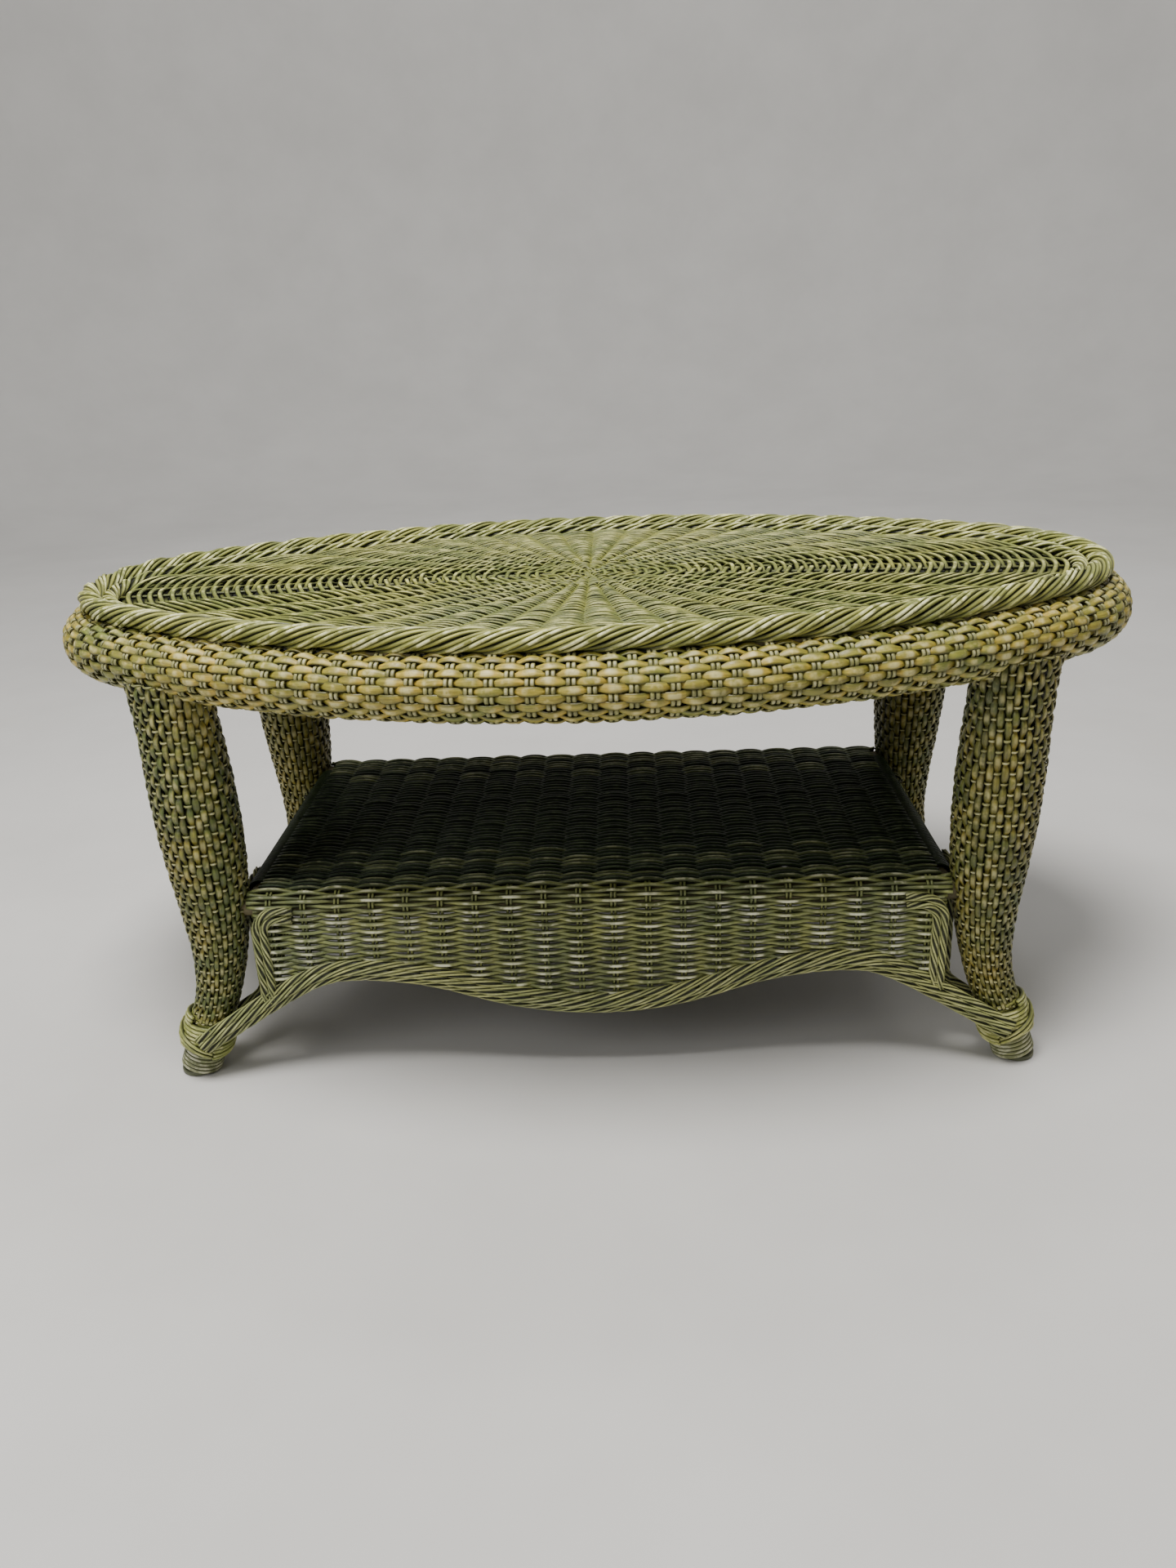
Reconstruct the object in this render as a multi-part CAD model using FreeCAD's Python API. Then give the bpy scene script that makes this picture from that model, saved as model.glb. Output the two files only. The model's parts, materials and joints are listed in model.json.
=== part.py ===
import FreeCAD, Part
import math
import os

# Wicker coffee table: an oval woven top with a rolled rim, on four wrapped legs,
# with a woven shelf whose apron hangs down on all four sides to a scalloped edge.
# Millimetres. X runs along the table, Y to the back, Z up. The origin is on the floor,
# under the middle of the top.

V = FreeCAD.Vector
UP = V(0, 0, 1)
REACH = 150.0   # cutting boxes go this far past a leg's axis

# ---- Driving dimensions ------------------------------------------------------------

# The top. Every ring of it is a four-centre oval: two end arcs and two side arcs that meet
# tangentially. Another ring is the same oval, moved outward or inward by an offset.
ROLL_HALF_LENGTH = 472.0      # rolled rim's centreline, from the middle to either end
ROLL_HALF_DEPTH = 264.0       # the same, to the front or the back
ROLL_END_RADIUS = 160.0       # radius of the centreline's end arcs
ROLL_RADIUS = 28.0            # outside of the rolled rim's woven skin
ROLL_HEIGHT = 401.0           # the rolled rim's centre above the floor
SKIN = 6.0                    # thickness of the weave on the rim and the legs

HOOP_RADIUS = 12.0            # bent pole inside the rim
HOOP_OFFSET = -2.0            # its centreline, inward of the roll's
HOOP_RISE = 3.0               # and above it

SLAT_THICKNESS = 12.0
SLAT_WIDTH = 40.0
SLAT_COUNT = 5
SLAT_PITCH = 150.0

PANEL_THICKNESS = 9.0         # woven disc of the top
OUTER_ROPE_RADIUS = 10.0      # large rope round the top
OUTER_ROPE_OFFSET = -2.0
INNER_ROPE_RADIUS = 7.0       # smaller rope inside it

# Legs
LEG_Y = 165.0                 # post's axis, in front of or behind the middle
POST_RADIUS = 15.0
FOOT_TILT = 20.0              # degrees that the foot kicks out along X
FOOT_BEND_RADIUS = 120.0      # radius of the post's bend above the foot
FOOT_BEND_HEIGHT = 130.0      # where the bend starts

# Woven leg skin: height, shift of its centre outward of the post, and the half widths of its
# oval section, along the rim and across it
LEG_SECTIONS = [
    (ROLL_HEIGHT - 8.0, 10.0, 48.0, 27.0),
    (300.0, 2.5, 41.0, 35.0),
    (205.0, -0.5, 35.5, 34.0),
    (125.0, 1.5, 25.5, 25.4),
    (66.0, 15.5, 22.0, 21.9),
]
LEG_TOP = ROLL_HEIGHT - 12.0  # the skin's highest point, under the rim's middle
LEG_BORE = 1.5                # play between the post and the skin at the ankle

GLIDE_HEIGHT = 5.0
GLIDE_RADIUS = 17.0
REED_WRAP = 4.0               # thickness of the reed wound round the foot
ANKLE_ROPE = 12.5             # thickness of the rope wound round the post above the foot
ANKLE_LOW = 26.0
ANKLE_TOP = 64.0

# Shelf
SHELF_TOP = 190.0
SHELF_SKIN = 6.0
SHELF_RAIL_RADIUS = 10.0
SIDE_RAIL_INSET = 38.0        # from the posts' axes to the side rails
SHELF_SLAT_THICKNESS = 8.0
SHELF_SLAT_WIDTH = 30.0
SHELF_SLAT_COUNT = 3
SHELF_SLAT_PITCH = 156.0

# Apron
EDGE_ROPE_RADIUS = 10.0       # rope along the scalloped lower edge
DIP_HEIGHT = 73.0             # that rope's centre at the middle of the front
PEAK_HEIGHT = 113.0           # and at the top of each arch
PEAK_INSET = 122.0            # from the posts' axes to the peaks, along the front
HAUNCH_RADIUS = 90.0          # outer shoulder of each front arch
SIDE_ARCH_RADIUS = 150.0      # top of the one arch at each end
HAUNCH_ANGLE = 31.0           # slope down to the feet, in degrees
END_ROPE_RADIUS = 6.0         # upright rope at each end of an apron
END_ROPE_INSET = 43.0         # from the posts' axes to the front and rear ones
SIDE_END_ROPE_INSET = 38.0    # and to the side ones
ROPE_FOOT_HEIGHT = 40.0       # where the edge ropes run into the ankles
KNEE_SWELL = 0.6              # how far the edge rope's knot stands out, by each end rope

# Fasteners
SCREW_RADIUS = 2.5
SCREW_HEAD_RADIUS = 5.0
SCREW_HEAD_HEIGHT = 3.0
HOOP_SCREW_LENGTH = 60.0
RAIL_SCREW_LENGTH = 55.0
NAIL_RADIUS = 1.2
NAIL_HEAD_RADIUS = 2.4
NAIL_HEAD_HEIGHT = 1.0
NAIL_LENGTH = 18.0

# Clearances
FIT = 0.2                     # between curved pieces that lie against each other
HOLE_PLAY = 0.1               # round a screw or nail

# ---- Sizes that follow ---------------------------------------------------------------

END_CENTRE = ROLL_HALF_LENGTH - ROLL_END_RADIUS
HALF_GAP = ROLL_HALF_DEPTH - ROLL_END_RADIUS
SIDE_CENTRE = (END_CENTRE ** 2 - HALF_GAP ** 2) / (2 * HALF_GAP)
SIDE_RADIUS = ROLL_HALF_DEPTH + SIDE_CENTRE
JOIN_ANGLE = math.degrees(math.atan2(SIDE_CENTRE, END_CENTRE))


def oval_y(x, offset):
    """Half the oval's depth at a place along it, at an offset."""
    end_radius = ROLL_END_RADIUS + offset
    if abs(x) > END_CENTRE + end_radius * math.cos(math.radians(JOIN_ANGLE)):
        return math.sqrt(end_radius ** 2 - (abs(x) - END_CENTRE) ** 2)
    return math.sqrt((SIDE_RADIUS + offset) ** 2 - x ** 2) - SIDE_CENTRE


def oval_x(y, offset):
    """Half the oval's length at a place across it, at an offset."""
    end_radius = ROLL_END_RADIUS + offset
    if abs(y) < end_radius * math.sin(math.radians(JOIN_ANGLE)):
        return END_CENTRE + math.sqrt(end_radius ** 2 - y ** 2)
    return math.sqrt((SIDE_RADIUS + offset) ** 2 - (abs(y) + SIDE_CENTRE) ** 2)


LEG_X = oval_x(LEG_Y, HOOP_OFFSET)   # the posts stand under the hoop

LEG_TURN = -math.degrees(math.atan2(LEG_X, LEG_Y + SIDE_CENTRE))   # the rim's direction there

HOOP_HEIGHT = ROLL_HEIGHT + HOOP_RISE
HOOP_TOP = HOOP_HEIGHT + HOOP_RADIUS
SLAT_TOP = HOOP_TOP + SLAT_THICKNESS
PANEL_TOP = SLAT_TOP + PANEL_THICKNESS
OUTER_ROPE_HEIGHT = SLAT_TOP + OUTER_ROPE_RADIUS
ROPE_GAP = math.sqrt((OUTER_ROPE_RADIUS + INNER_ROPE_RADIUS) ** 2
                     - (OUTER_ROPE_RADIUS - INNER_ROPE_RADIUS) ** 2) + FIT
INNER_ROPE_OFFSET = OUTER_ROPE_OFFSET - ROPE_GAP
INNER_ROPE_HEIGHT = SLAT_TOP + INNER_ROPE_RADIUS
PANEL_OFFSET = INNER_ROPE_OFFSET - INNER_ROPE_RADIUS - FIT

SIDE_RAIL_X = LEG_X - SIDE_RAIL_INSET
SHELF_RAIL_HEIGHT = SHELF_TOP - SHELF_SKIN - SHELF_RAIL_RADIUS
BEND_INNER = SHELF_RAIL_RADIUS + FIT
BEND_OUTER = SHELF_RAIL_RADIUS + SHELF_SKIN
APRON_Y = LEG_Y + BEND_OUTER - SHELF_SKIN / 2
APRON_X = SIDE_RAIL_X + BEND_OUTER - SHELF_SKIN / 2
APRON_TOP = SHELF_RAIL_HEIGHT
END_ROPE_OUT = SHELF_RAIL_RADIUS + FIT + END_ROPE_RADIUS - (BEND_OUTER - SHELF_SKIN / 2)
END_ROPE_X = LEG_X - END_ROPE_INSET
END_ROPE_Y = LEG_Y - SIDE_END_ROPE_INSET
PEAK_X = LEG_X - PEAK_INSET

TILT = math.radians(FOOT_TILT)
BEND_DROP = FOOT_BEND_RADIUS * math.sin(TILT)
BEND_SHIFT = FOOT_BEND_RADIUS * (1 - math.cos(TILT))
FOOT_RUN = (FOOT_BEND_HEIGHT - BEND_DROP) * math.tan(TILT)
FOOT_X = LEG_X + BEND_SHIFT + FOOT_RUN

CORNERS = {"fl": (-1, -1), "fr": (1, -1), "rl": (-1, 1), "rr": (1, 1)}


# ---- Helpers -------------------------------------------------------------------------

def box(low, high):
    size = high - low
    return Part.makeBox(size.x, size.y, size.z, low)


def rod(radius, start, end):
    way = end - start
    return Part.makeCylinder(radius, way.Length, start, way)


def mirrored(shape, sx, sy):
    """The shape made for the right rear, moved to another corner."""
    made = shape.copy()
    if sx < 0:
        made = made.mirror(V(0, 0, 0), V(1, 0, 0))
    if sy < 0:
        made = made.mirror(V(0, 0, 0), V(0, 1, 0))
    return made


def largest(shape):
    return max(shape.Solids, key=lambda piece: piece.Volume)


def section(offset, height, radius):
    """A round face across the right end of the oval."""
    centre = V(ROLL_HALF_LENGTH + offset, 0, height)
    circle = Part.makeCircle(radius, centre, V(0, 1, 0))
    return Part.Face(Part.Wire(circle))


def ring(face):
    """The face at the right end of the oval, carried all the way round it."""
    pivot = V(END_CENTRE, 0, 0)
    start = face.copy()
    start.rotate(pivot, UP, -JOIN_ANGLE)
    right = start.revolve(pivot, UP, 2 * JOIN_ANGLE)
    corner = face.copy()
    corner.rotate(pivot, UP, JOIN_ANGLE)
    rear = corner.revolve(V(0, -SIDE_CENTRE, 0), UP, 180 - 2 * JOIN_ANGLE)
    left = right.mirror(V(0, 0, 0), V(1, 0, 0))
    front = rear.mirror(V(0, 0, 0), V(0, 1, 0))
    return right.fuse([rear, left, front]).removeSplitter()


def ring_tube(offset, height, radius):
    return ring(section(offset, height, radius))


def oval_plate(offset, low, high):
    """A flat oval plate whose edge is the given offset from the roll's centreline."""
    end_radius = ROLL_END_RADIUS + offset
    side_radius = SIDE_RADIUS + offset
    turn = math.radians(JOIN_ANGLE)
    corner_x = END_CENTRE + end_radius * math.cos(turn)
    corner_y = end_radius * math.sin(turn)
    end_x = END_CENTRE + end_radius
    side_y = side_radius - SIDE_CENTRE
    corners = [V(corner_x, -corner_y, low), V(corner_x, corner_y, low)]
    corners += [V(-corner_x, corner_y, low), V(-corner_x, -corner_y, low)]
    middles = [V(end_x, 0, low), V(0, side_y, low), V(-end_x, 0, low), V(0, -side_y, low)]
    arcs = []
    for i, middle in enumerate(middles):
        arcs.append(Part.Arc(corners[i], middle, corners[(i + 1) % 4]).toShape())
    return Part.Face(Part.Wire(arcs)).extrude(V(0, 0, high - low))


def slat_places(count, pitch):
    return [(i - (count - 1) / 2) * pitch for i in range(count)]


def post_path():
    """The post's axis at the right rear, from the hoop to below the floor."""
    top = V(LEG_X, LEG_Y, HOOP_HEIGHT)
    bend = V(LEG_X, LEG_Y, FOOT_BEND_HEIGHT)
    half = TILT / 2
    middle = V(LEG_X + FOOT_BEND_RADIUS * (1 - math.cos(half)), LEG_Y,
               FOOT_BEND_HEIGHT - FOOT_BEND_RADIUS * math.sin(half))
    tilt = V(LEG_X + BEND_SHIFT, LEG_Y, FOOT_BEND_HEIGHT - BEND_DROP)
    below = foot_axis(-POST_RADIUS)
    return [Part.LineSegment(top, bend), Part.Arc(bend, middle, tilt), Part.LineSegment(tilt, below)]


def foot_axis(height):
    """The point of the right rear foot's axis at a height."""
    return V(FOOT_X - height * math.tan(TILT), LEG_Y, height)


def post_tube(radius):
    """A bent round pole along the post's axis, cut off at the top of the glide."""
    wire = Part.Wire([edge.toShape() for edge in post_path()])
    circle = Part.Wire(Part.makeCircle(radius, V(LEG_X, LEG_Y, HOOP_HEIGHT), V(0, 0, -1)))
    pole = wire.makePipeShell([circle], True, False)
    floor = box(V(LEG_X - REACH, LEG_Y - REACH, -REACH), V(LEG_X + REACH, LEG_Y + REACH, GLIDE_HEIGHT))
    return pole.cut(floor)


def leg_loft(inset, top):
    """The leg's woven outline at the right rear, drawn in by an inset."""
    ovals = []
    for height, shift, along, across in LEG_SECTIONS:
        oval = Part.Ellipse(V(0, 0, 0), along - inset, across - inset).toShape()
        oval.rotate(V(0, 0, 0), UP, LEG_TURN)
        oval.translate(V(LEG_X + shift, LEG_Y, height))
        ovals.append(Part.Wire(oval))
    body = Part.makeLoft(ovals, True, False)
    above = box(V(LEG_X - REACH, LEG_Y - REACH, top), V(LEG_X + REACH, LEG_Y + REACH, top + REACH))
    return body.cut(above)


# ---- Frame ---------------------------------------------------------------------------

def hoop_screw(play):
    """A screw down through the hoop into the post, and the hole that it needs."""
    top = V(LEG_X, LEG_Y, HOOP_TOP)
    under_head = top - UP * SCREW_HEAD_HEIGHT
    shank = rod(SCREW_RADIUS + play, top - UP * (HOOP_SCREW_LENGTH + play), under_head)
    head = rod(SCREW_HEAD_RADIUS + play, under_head - UP * play, top + UP * play)
    return shank.fuse(head).removeSplitter()


def rail_screw(play):
    """A screw through the post into the end of the long rail, from the leg's outside."""
    outward = V(1, 0, 0)
    start = V(LEG_X + POST_RADIUS, LEG_Y, SHELF_RAIL_HEIGHT)
    under_head = start - outward * SCREW_HEAD_HEIGHT
    shank = rod(SCREW_RADIUS + play, under_head, start - outward * (RAIL_SCREW_LENGTH + play))
    head = rod(SCREW_HEAD_RADIUS + play, under_head - outward * play, start + outward * play)
    return shank.fuse(head).removeSplitter()


def slat_nail_places():
    """Where each slat is nailed down to the hoop."""
    places = []
    for x in slat_places(SLAT_COUNT, SLAT_PITCH):
        for sy in (-1, 1):
            places.append((x, sy * oval_y(x, HOOP_OFFSET)))
    return places


def slat_nail(x, y, play):
    top = V(x, y, SLAT_TOP)
    under_head = top - UP * NAIL_HEAD_HEIGHT
    shank = rod(NAIL_RADIUS + play, top - UP * (NAIL_LENGTH + play), under_head)
    head = rod(NAIL_HEAD_RADIUS + play, under_head - UP * play, top + UP * play)
    return shank.fuse(head).removeSplitter()


def top_hoop():
    pole = ring_tube(HOOP_OFFSET, HOOP_HEIGHT, HOOP_RADIUS)
    holes = [mirrored(hoop_screw(HOLE_PLAY), sx, sy) for sx, sy in CORNERS.values()]
    holes += [slat_nail(x, y, HOLE_PLAY) for x, y in slat_nail_places()]
    return pole.cut(holes)


def top_spine():
    """The long slat under the cross slats, butted against the hoop at both ends."""
    half = ROLL_HALF_LENGTH + HOOP_OFFSET
    plank = box(V(-half, -SLAT_WIDTH / 2, HOOP_TOP - SLAT_THICKNESS), V(half, SLAT_WIDTH / 2, HOOP_TOP))
    return plank.cut(ring_tube(HOOP_OFFSET, HOOP_HEIGHT, HOOP_RADIUS + FIT))


def top_slat(x):
    """One cross slat, from the hoop's front to its back."""
    half = SLAT_WIDTH / 2
    plank = box(V(x - half, -ROLL_HALF_DEPTH, HOOP_TOP), V(x + half, ROLL_HALF_DEPTH, SLAT_TOP))
    plank = plank.common(oval_plate(HOOP_OFFSET + HOOP_RADIUS / 2, HOOP_TOP, SLAT_TOP))
    holes = [slat_nail(nail_x, y, HOLE_PLAY) for nail_x, y in slat_nail_places() if abs(nail_x - x) < 1]
    return plank.cut(holes)


def leg_post():
    """The bent pole in the right rear leg, coped to the hoop above it."""
    pole = post_tube(POST_RADIUS)
    pole = pole.cut(ring_tube(HOOP_OFFSET, HOOP_HEIGHT, HOOP_RADIUS))
    above = box(V(LEG_X - REACH, LEG_Y - REACH, HOOP_HEIGHT - 1), V(LEG_X + REACH, LEG_Y + REACH, HOOP_TOP))
    pole = pole.cut(above)
    return pole.cut([hoop_screw(HOLE_PLAY), rail_screw(HOLE_PLAY)])


def long_rail():
    """The rear rail of the shelf, coped to the two posts."""
    pole = rod(SHELF_RAIL_RADIUS, V(-LEG_X, LEG_Y, SHELF_RAIL_HEIGHT), V(LEG_X, LEG_Y, SHELF_RAIL_HEIGHT))
    for sx in (-1, 1):
        post = rod(POST_RADIUS + FIT, V(sx * LEG_X, LEG_Y, 0), V(sx * LEG_X, LEG_Y, ROLL_HEIGHT))
        pole = pole.cut(post)
        pole = pole.cut(mirrored(rail_screw(HOLE_PLAY), sx, 1))
    return pole


def side_rail():
    """The right rail of the shelf, coped to the front and rear rails."""
    front = V(SIDE_RAIL_X, -LEG_Y, SHELF_RAIL_HEIGHT)
    pole = rod(SHELF_RAIL_RADIUS, front, front + V(0, 2 * LEG_Y, 0))
    for sy in (-1, 1):
        start = V(-LEG_X, sy * LEG_Y, SHELF_RAIL_HEIGHT)
        pole = pole.cut(rod(SHELF_RAIL_RADIUS + FIT, start, start + V(2 * LEG_X, 0, 0)))
    return pole


def shelf_slat(x):
    """A slat under the shelf's weave, coped to the front and rear rails."""
    high = SHELF_TOP - SHELF_SKIN
    plank = box(V(x - SHELF_SLAT_WIDTH / 2, -LEG_Y, high - SHELF_SLAT_THICKNESS),
                V(x + SHELF_SLAT_WIDTH / 2, LEG_Y, high))
    for sy in (-1, 1):
        start = V(-LEG_X, sy * LEG_Y, SHELF_RAIL_HEIGHT)
        plank = plank.cut(rod(SHELF_RAIL_RADIUS + FIT, start, start + V(2 * LEG_X, 0, 0)))
    return largest(plank)


# ---- Top -----------------------------------------------------------------------------

def rim_cover():
    """The rim's woven skin: a rolled channel, open above on its inner side for the slats."""
    tube = section(0, ROLL_HEIGHT, ROLL_RADIUS).cut(section(0, ROLL_HEIGHT, ROLL_RADIUS - SKIN))
    start = ROLL_HALF_LENGTH - 2 * ROLL_RADIUS
    rope_side = ROLL_HALF_LENGTH + OUTER_ROPE_OFFSET + OUTER_ROPE_RADIUS + FIT
    mouth = box(V(start, -1, ROLL_HEIGHT), V(rope_side, 1, ROLL_HEIGHT + 2 * ROLL_RADIUS))
    skin = tube.cut(mouth)
    channel = ring(skin.Faces[0])
    holes = [mirrored(post_hole(), sx, sy) for sx, sy in CORNERS.values()]
    return channel.cut(holes)


def post_hole():
    below = V(LEG_X, LEG_Y, ROLL_HEIGHT - 2 * ROLL_RADIUS)
    return rod(POST_RADIUS + FIT, below, V(LEG_X, LEG_Y, ROLL_HEIGHT))


def top_panel():
    return oval_plate(PANEL_OFFSET, SLAT_TOP, PANEL_TOP)


# ---- Legs ----------------------------------------------------------------------------

def leg_cover():
    """The right rear leg's woven skin, coped to the rim and pierced for the rail."""
    skin = leg_loft(0, LEG_TOP).cut(leg_hollow())
    skin = skin.cut(ring_tube(0, ROLL_HEIGHT, ROLL_RADIUS + FIT))
    long_end = V(LEG_X, LEG_Y, SHELF_RAIL_HEIGHT)
    side_end = V(SIDE_RAIL_X, LEG_Y, SHELF_RAIL_HEIGHT)
    skin = skin.cut(rod(SHELF_RAIL_RADIUS + FIT, V(0, LEG_Y, SHELF_RAIL_HEIGHT), long_end))
    skin = skin.cut(rod(SHELF_RAIL_RADIUS + FIT, V(SIDE_RAIL_X, 0, SHELF_RAIL_HEIGHT), side_end))
    return largest(skin)


def leg_hollow():
    """The space inside the leg's skin, never narrower than the post."""
    return leg_loft(SKIN, LEG_TOP + 1).fuse(post_tube(POST_RADIUS + LEG_BORE))


def foot_sleeve(thickness, low, top):
    """A plain sleeve round the foot's post between two heights."""
    outer = rod(POST_RADIUS + thickness, foot_axis(low), foot_axis(top))
    return outer.cut(rod(POST_RADIUS + FIT, foot_axis(low - POST_RADIUS), foot_axis(top + POST_RADIUS)))


def foot_wrap():
    """The reed wound round the foot, between the glide and the ankle's rope."""
    wrap = foot_sleeve(REED_WRAP, 0, ANKLE_LOW)
    below = box(V(LEG_X - REACH, LEG_Y - REACH, -REACH), V(LEG_X + REACH, LEG_Y + REACH, GLIDE_HEIGHT))
    return wrap.cut(below)


def ankle_braid():
    """The rope wound round the ankle, under the end of the leg's skin."""
    return foot_sleeve(ANKLE_ROPE, ANKLE_LOW, ANKLE_TOP).cut(leg_loft(-FIT, LEG_TOP))


def ankle_core():
    return rod(POST_RADIUS + ANKLE_ROPE + FIT, foot_axis(0), foot_axis(ANKLE_TOP))


def foot_glide():
    centre = V(FOOT_X, LEG_Y, 0)
    disc = Part.makeCylinder(GLIDE_RADIUS, GLIDE_HEIGHT, centre)
    return disc.makeFillet(GLIDE_HEIGHT / 3, [disc.Edges[i] for i in (0, 2)])


# ---- Shelf ---------------------------------------------------------------------------

def shelf_panel():
    """The shelf's woven sheet: flat, and turned down over all four rails."""
    low = SHELF_TOP - SHELF_SKIN
    sheet = box(V(-SIDE_RAIL_X, -LEG_Y, low), V(SIDE_RAIL_X, LEG_Y, SHELF_TOP))
    for sy in (-1, 1):
        axis = V(-SIDE_RAIL_X, sy * LEG_Y, SHELF_RAIL_HEIGHT)
        sheet = sheet.fuse(bend(axis, V(2 * SIDE_RAIL_X, 0, 0), V(0, sy, 0)))
    for sx in (-1, 1):
        axis = V(sx * SIDE_RAIL_X, -LEG_Y, SHELF_RAIL_HEIGHT)
        sheet = sheet.fuse(bend(axis, V(0, 2 * LEG_Y, 0), V(sx, 0, 0)))
    for sy in (-1, 1):
        rail = V(-LEG_X, sy * LEG_Y, SHELF_RAIL_HEIGHT)
        sheet = sheet.cut(rod(BEND_INNER, rail, rail + V(2 * LEG_X, 0, 0)))
    for sx, sy in CORNERS.values():
        sheet = sheet.cut(mirrored(leg_loft(-FIT, LEG_TOP), sx, sy))
    return sheet.removeSplitter()


def bend(start, run, outward):
    """A quarter of a tube over a rail, from the sheet down to the apron."""
    tube = rod(BEND_OUTER, start, start + run).cut(rod(BEND_INNER, start, start + run))
    corner = start + outward * BEND_OUTER + UP * BEND_OUTER
    far = start + run
    low = V(min(start.x, far.x, corner.x), min(start.y, far.y, corner.y), start.z)
    high = V(max(start.x, far.x, corner.x), max(start.y, far.y, corner.y), start.z + BEND_OUTER)
    return tube.common(box(low, high))


# ---- Apron ---------------------------------------------------------------------------

def haunch(peak, radius):
    """The outer shoulder of an arch: its peak, the middle of its arc and the arc's end."""
    angle = math.radians(HAUNCH_ANGLE)
    points = []
    for turn in (0, angle / 2, angle):
        points.append((peak + radius * math.sin(turn), PEAK_HEIGHT - radius * (1 - math.cos(turn))))
    return points


def front_arcs():
    """Half of the front rope's line, from the dip in the middle out to the haunch."""
    rise = PEAK_HEIGHT - DIP_HEIGHT
    radius = (PEAK_X ** 2 + rise ** 2) / (4 * rise)
    turn = math.asin(PEAK_X / (2 * radius))
    dip = []
    climb = []
    for share in (0, turn / 2, turn):
        dip.append((radius * math.sin(share), DIP_HEIGHT + radius * (1 - math.cos(share))))
        climb.insert(0, (PEAK_X - radius * math.sin(share), PEAK_HEIGHT - radius * (1 - math.cos(share))))
    return [dip, climb, haunch(PEAK_X, HAUNCH_RADIUS)]


def rear_place(along, height, out=0.0):
    return V(along, APRON_Y + out, height)


def right_place(along, height, out=0.0):
    return V(APRON_X + out, along, height)


# Each apron: its rope's arcs, the function that places it, the end ropes' distance from its
# middle, and the point at the right rear where its rope runs into the ankle.
ROPE_FOOT = foot_axis(ROPE_FOOT_HEIGHT)
REAR_KNOT = ROPE_FOOT + V(0, POST_RADIUS + ANKLE_ROPE / 2, 0)
SIDE_KNOT = ROPE_FOOT - V(POST_RADIUS, POST_RADIUS, 0)
REAR = (front_arcs(), rear_place, END_ROPE_X, REAR_KNOT)
RIGHT = ([haunch(0, SIDE_ARCH_RADIUS)], right_place, END_ROPE_Y, SIDE_KNOT)


def run_end(arcs, end_rope):
    """Where the rope's straight run, past the end rope, turns in to the ankle."""
    start = arcs[-1][-1]
    reach = end_rope + END_ROPE_RADIUS
    return (reach, start[1] - (reach - start[0]) * math.tan(math.radians(HAUNCH_ANGLE)))


def lower_line(side):
    """The edges of an apron's whole lower line, as far as its end ropes."""
    arcs, place, end_rope, _ = side
    last = run_end(arcs, end_rope)
    start = arcs[-1][-1]
    edges = [Part.LineSegment(place(-last[0], last[1]), place(-start[0], start[1])).toShape()]
    for arc in reversed(arcs):
        points = [place(-along, height) for along, height in reversed(arc)]
        edges.append(Part.Arc(*points).toShape())
    for arc in arcs:
        points = [place(along, height) for along, height in arc]
        edges.append(Part.Arc(*points).toShape())
    edges.append(Part.LineSegment(place(*start), place(*last)).toShape())
    return edges


def rope_body(side, radius):
    """The rope along an apron's edge, from ankle to ankle."""
    arcs, place, end_rope, ankle = side
    edges = lower_line(side)
    first = edges[0].Vertexes[0].Point
    circle = Part.Wire(Part.makeCircle(radius, first, edges[0].Vertexes[1].Point - first))
    rope = Part.Wire(edges).makePipeShell([circle], True, False)
    along, height = run_end(arcs, end_rope)
    tails = []
    for turn in (-1, 1):
        knee = place(turn * along, height)
        foot = V(ankle.x, turn * ankle.y, ankle.z)
        if place is rear_place:
            foot = V(turn * ankle.x, ankle.y, ankle.z)
        tails.append(Part.makeSphere(radius + KNEE_SWELL, knee))
        tails.append(rod(radius, knee, foot))
    return rope.fuse(tails)


def clear_of_legs(shape):
    for sx, sy in CORNERS.values():
        shape = shape.cut(mirrored(leg_loft(-FIT, LEG_TOP), sx, sy))
        shape = shape.cut(mirrored(post_tube(POST_RADIUS + FIT), sx, sy))
        shape = shape.cut(mirrored(ankle_core(), sx, sy))
    return largest(shape)


def edge_rope(side):
    return clear_of_legs(rope_body(side, EDGE_ROPE_RADIUS))


def apron(side, outward):
    """A woven apron: flat, from the shelf's bend down to the rope along its edge."""
    edges = lower_line(side)
    left = edges[0].Vertexes[0].Point
    right = edges[-1].Vertexes[1].Point
    top_left = V(left.x, left.y, APRON_TOP)
    top_right = V(right.x, right.y, APRON_TOP)
    edges.append(Part.LineSegment(right, top_right).toShape())
    edges.append(Part.LineSegment(top_right, top_left).toShape())
    edges.append(Part.LineSegment(top_left, left).toShape())
    face = Part.Face(Part.Wire(edges))
    face.translate(outward * (-SHELF_SKIN / 2))
    sheet = face.extrude(outward * SHELF_SKIN)
    for turn in (-1, 1):
        sheet = sheet.cut(end_rope_rod(side, turn, FIT))
    sheet = sheet.cut(rope_body(side, EDGE_ROPE_RADIUS + FIT))
    return min(sheet.Solids, key=lambda piece: piece.CenterOfMass.Length)


def end_rope_rod(side, turn, play):
    _, place, end_rope, _ = side
    low = place(turn * end_rope, 0, END_ROPE_OUT)
    high = place(turn * end_rope, APRON_TOP, END_ROPE_OUT)
    return rod(END_ROPE_RADIUS + play, low, high)


def end_rope(side):
    """The upright rope at one end of an apron, from the edge rope up to the shelf's bend."""
    rope = end_rope_rod(side, 1, 0).cut(rope_body(side, EDGE_ROPE_RADIUS + FIT))
    for sx, sy in CORNERS.values():
        rope = rope.cut(mirrored(leg_loft(-FIT, LEG_TOP), sx, sy))
    return max(rope.Solids, key=lambda piece: piece.CenterOfMass.z)


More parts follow.
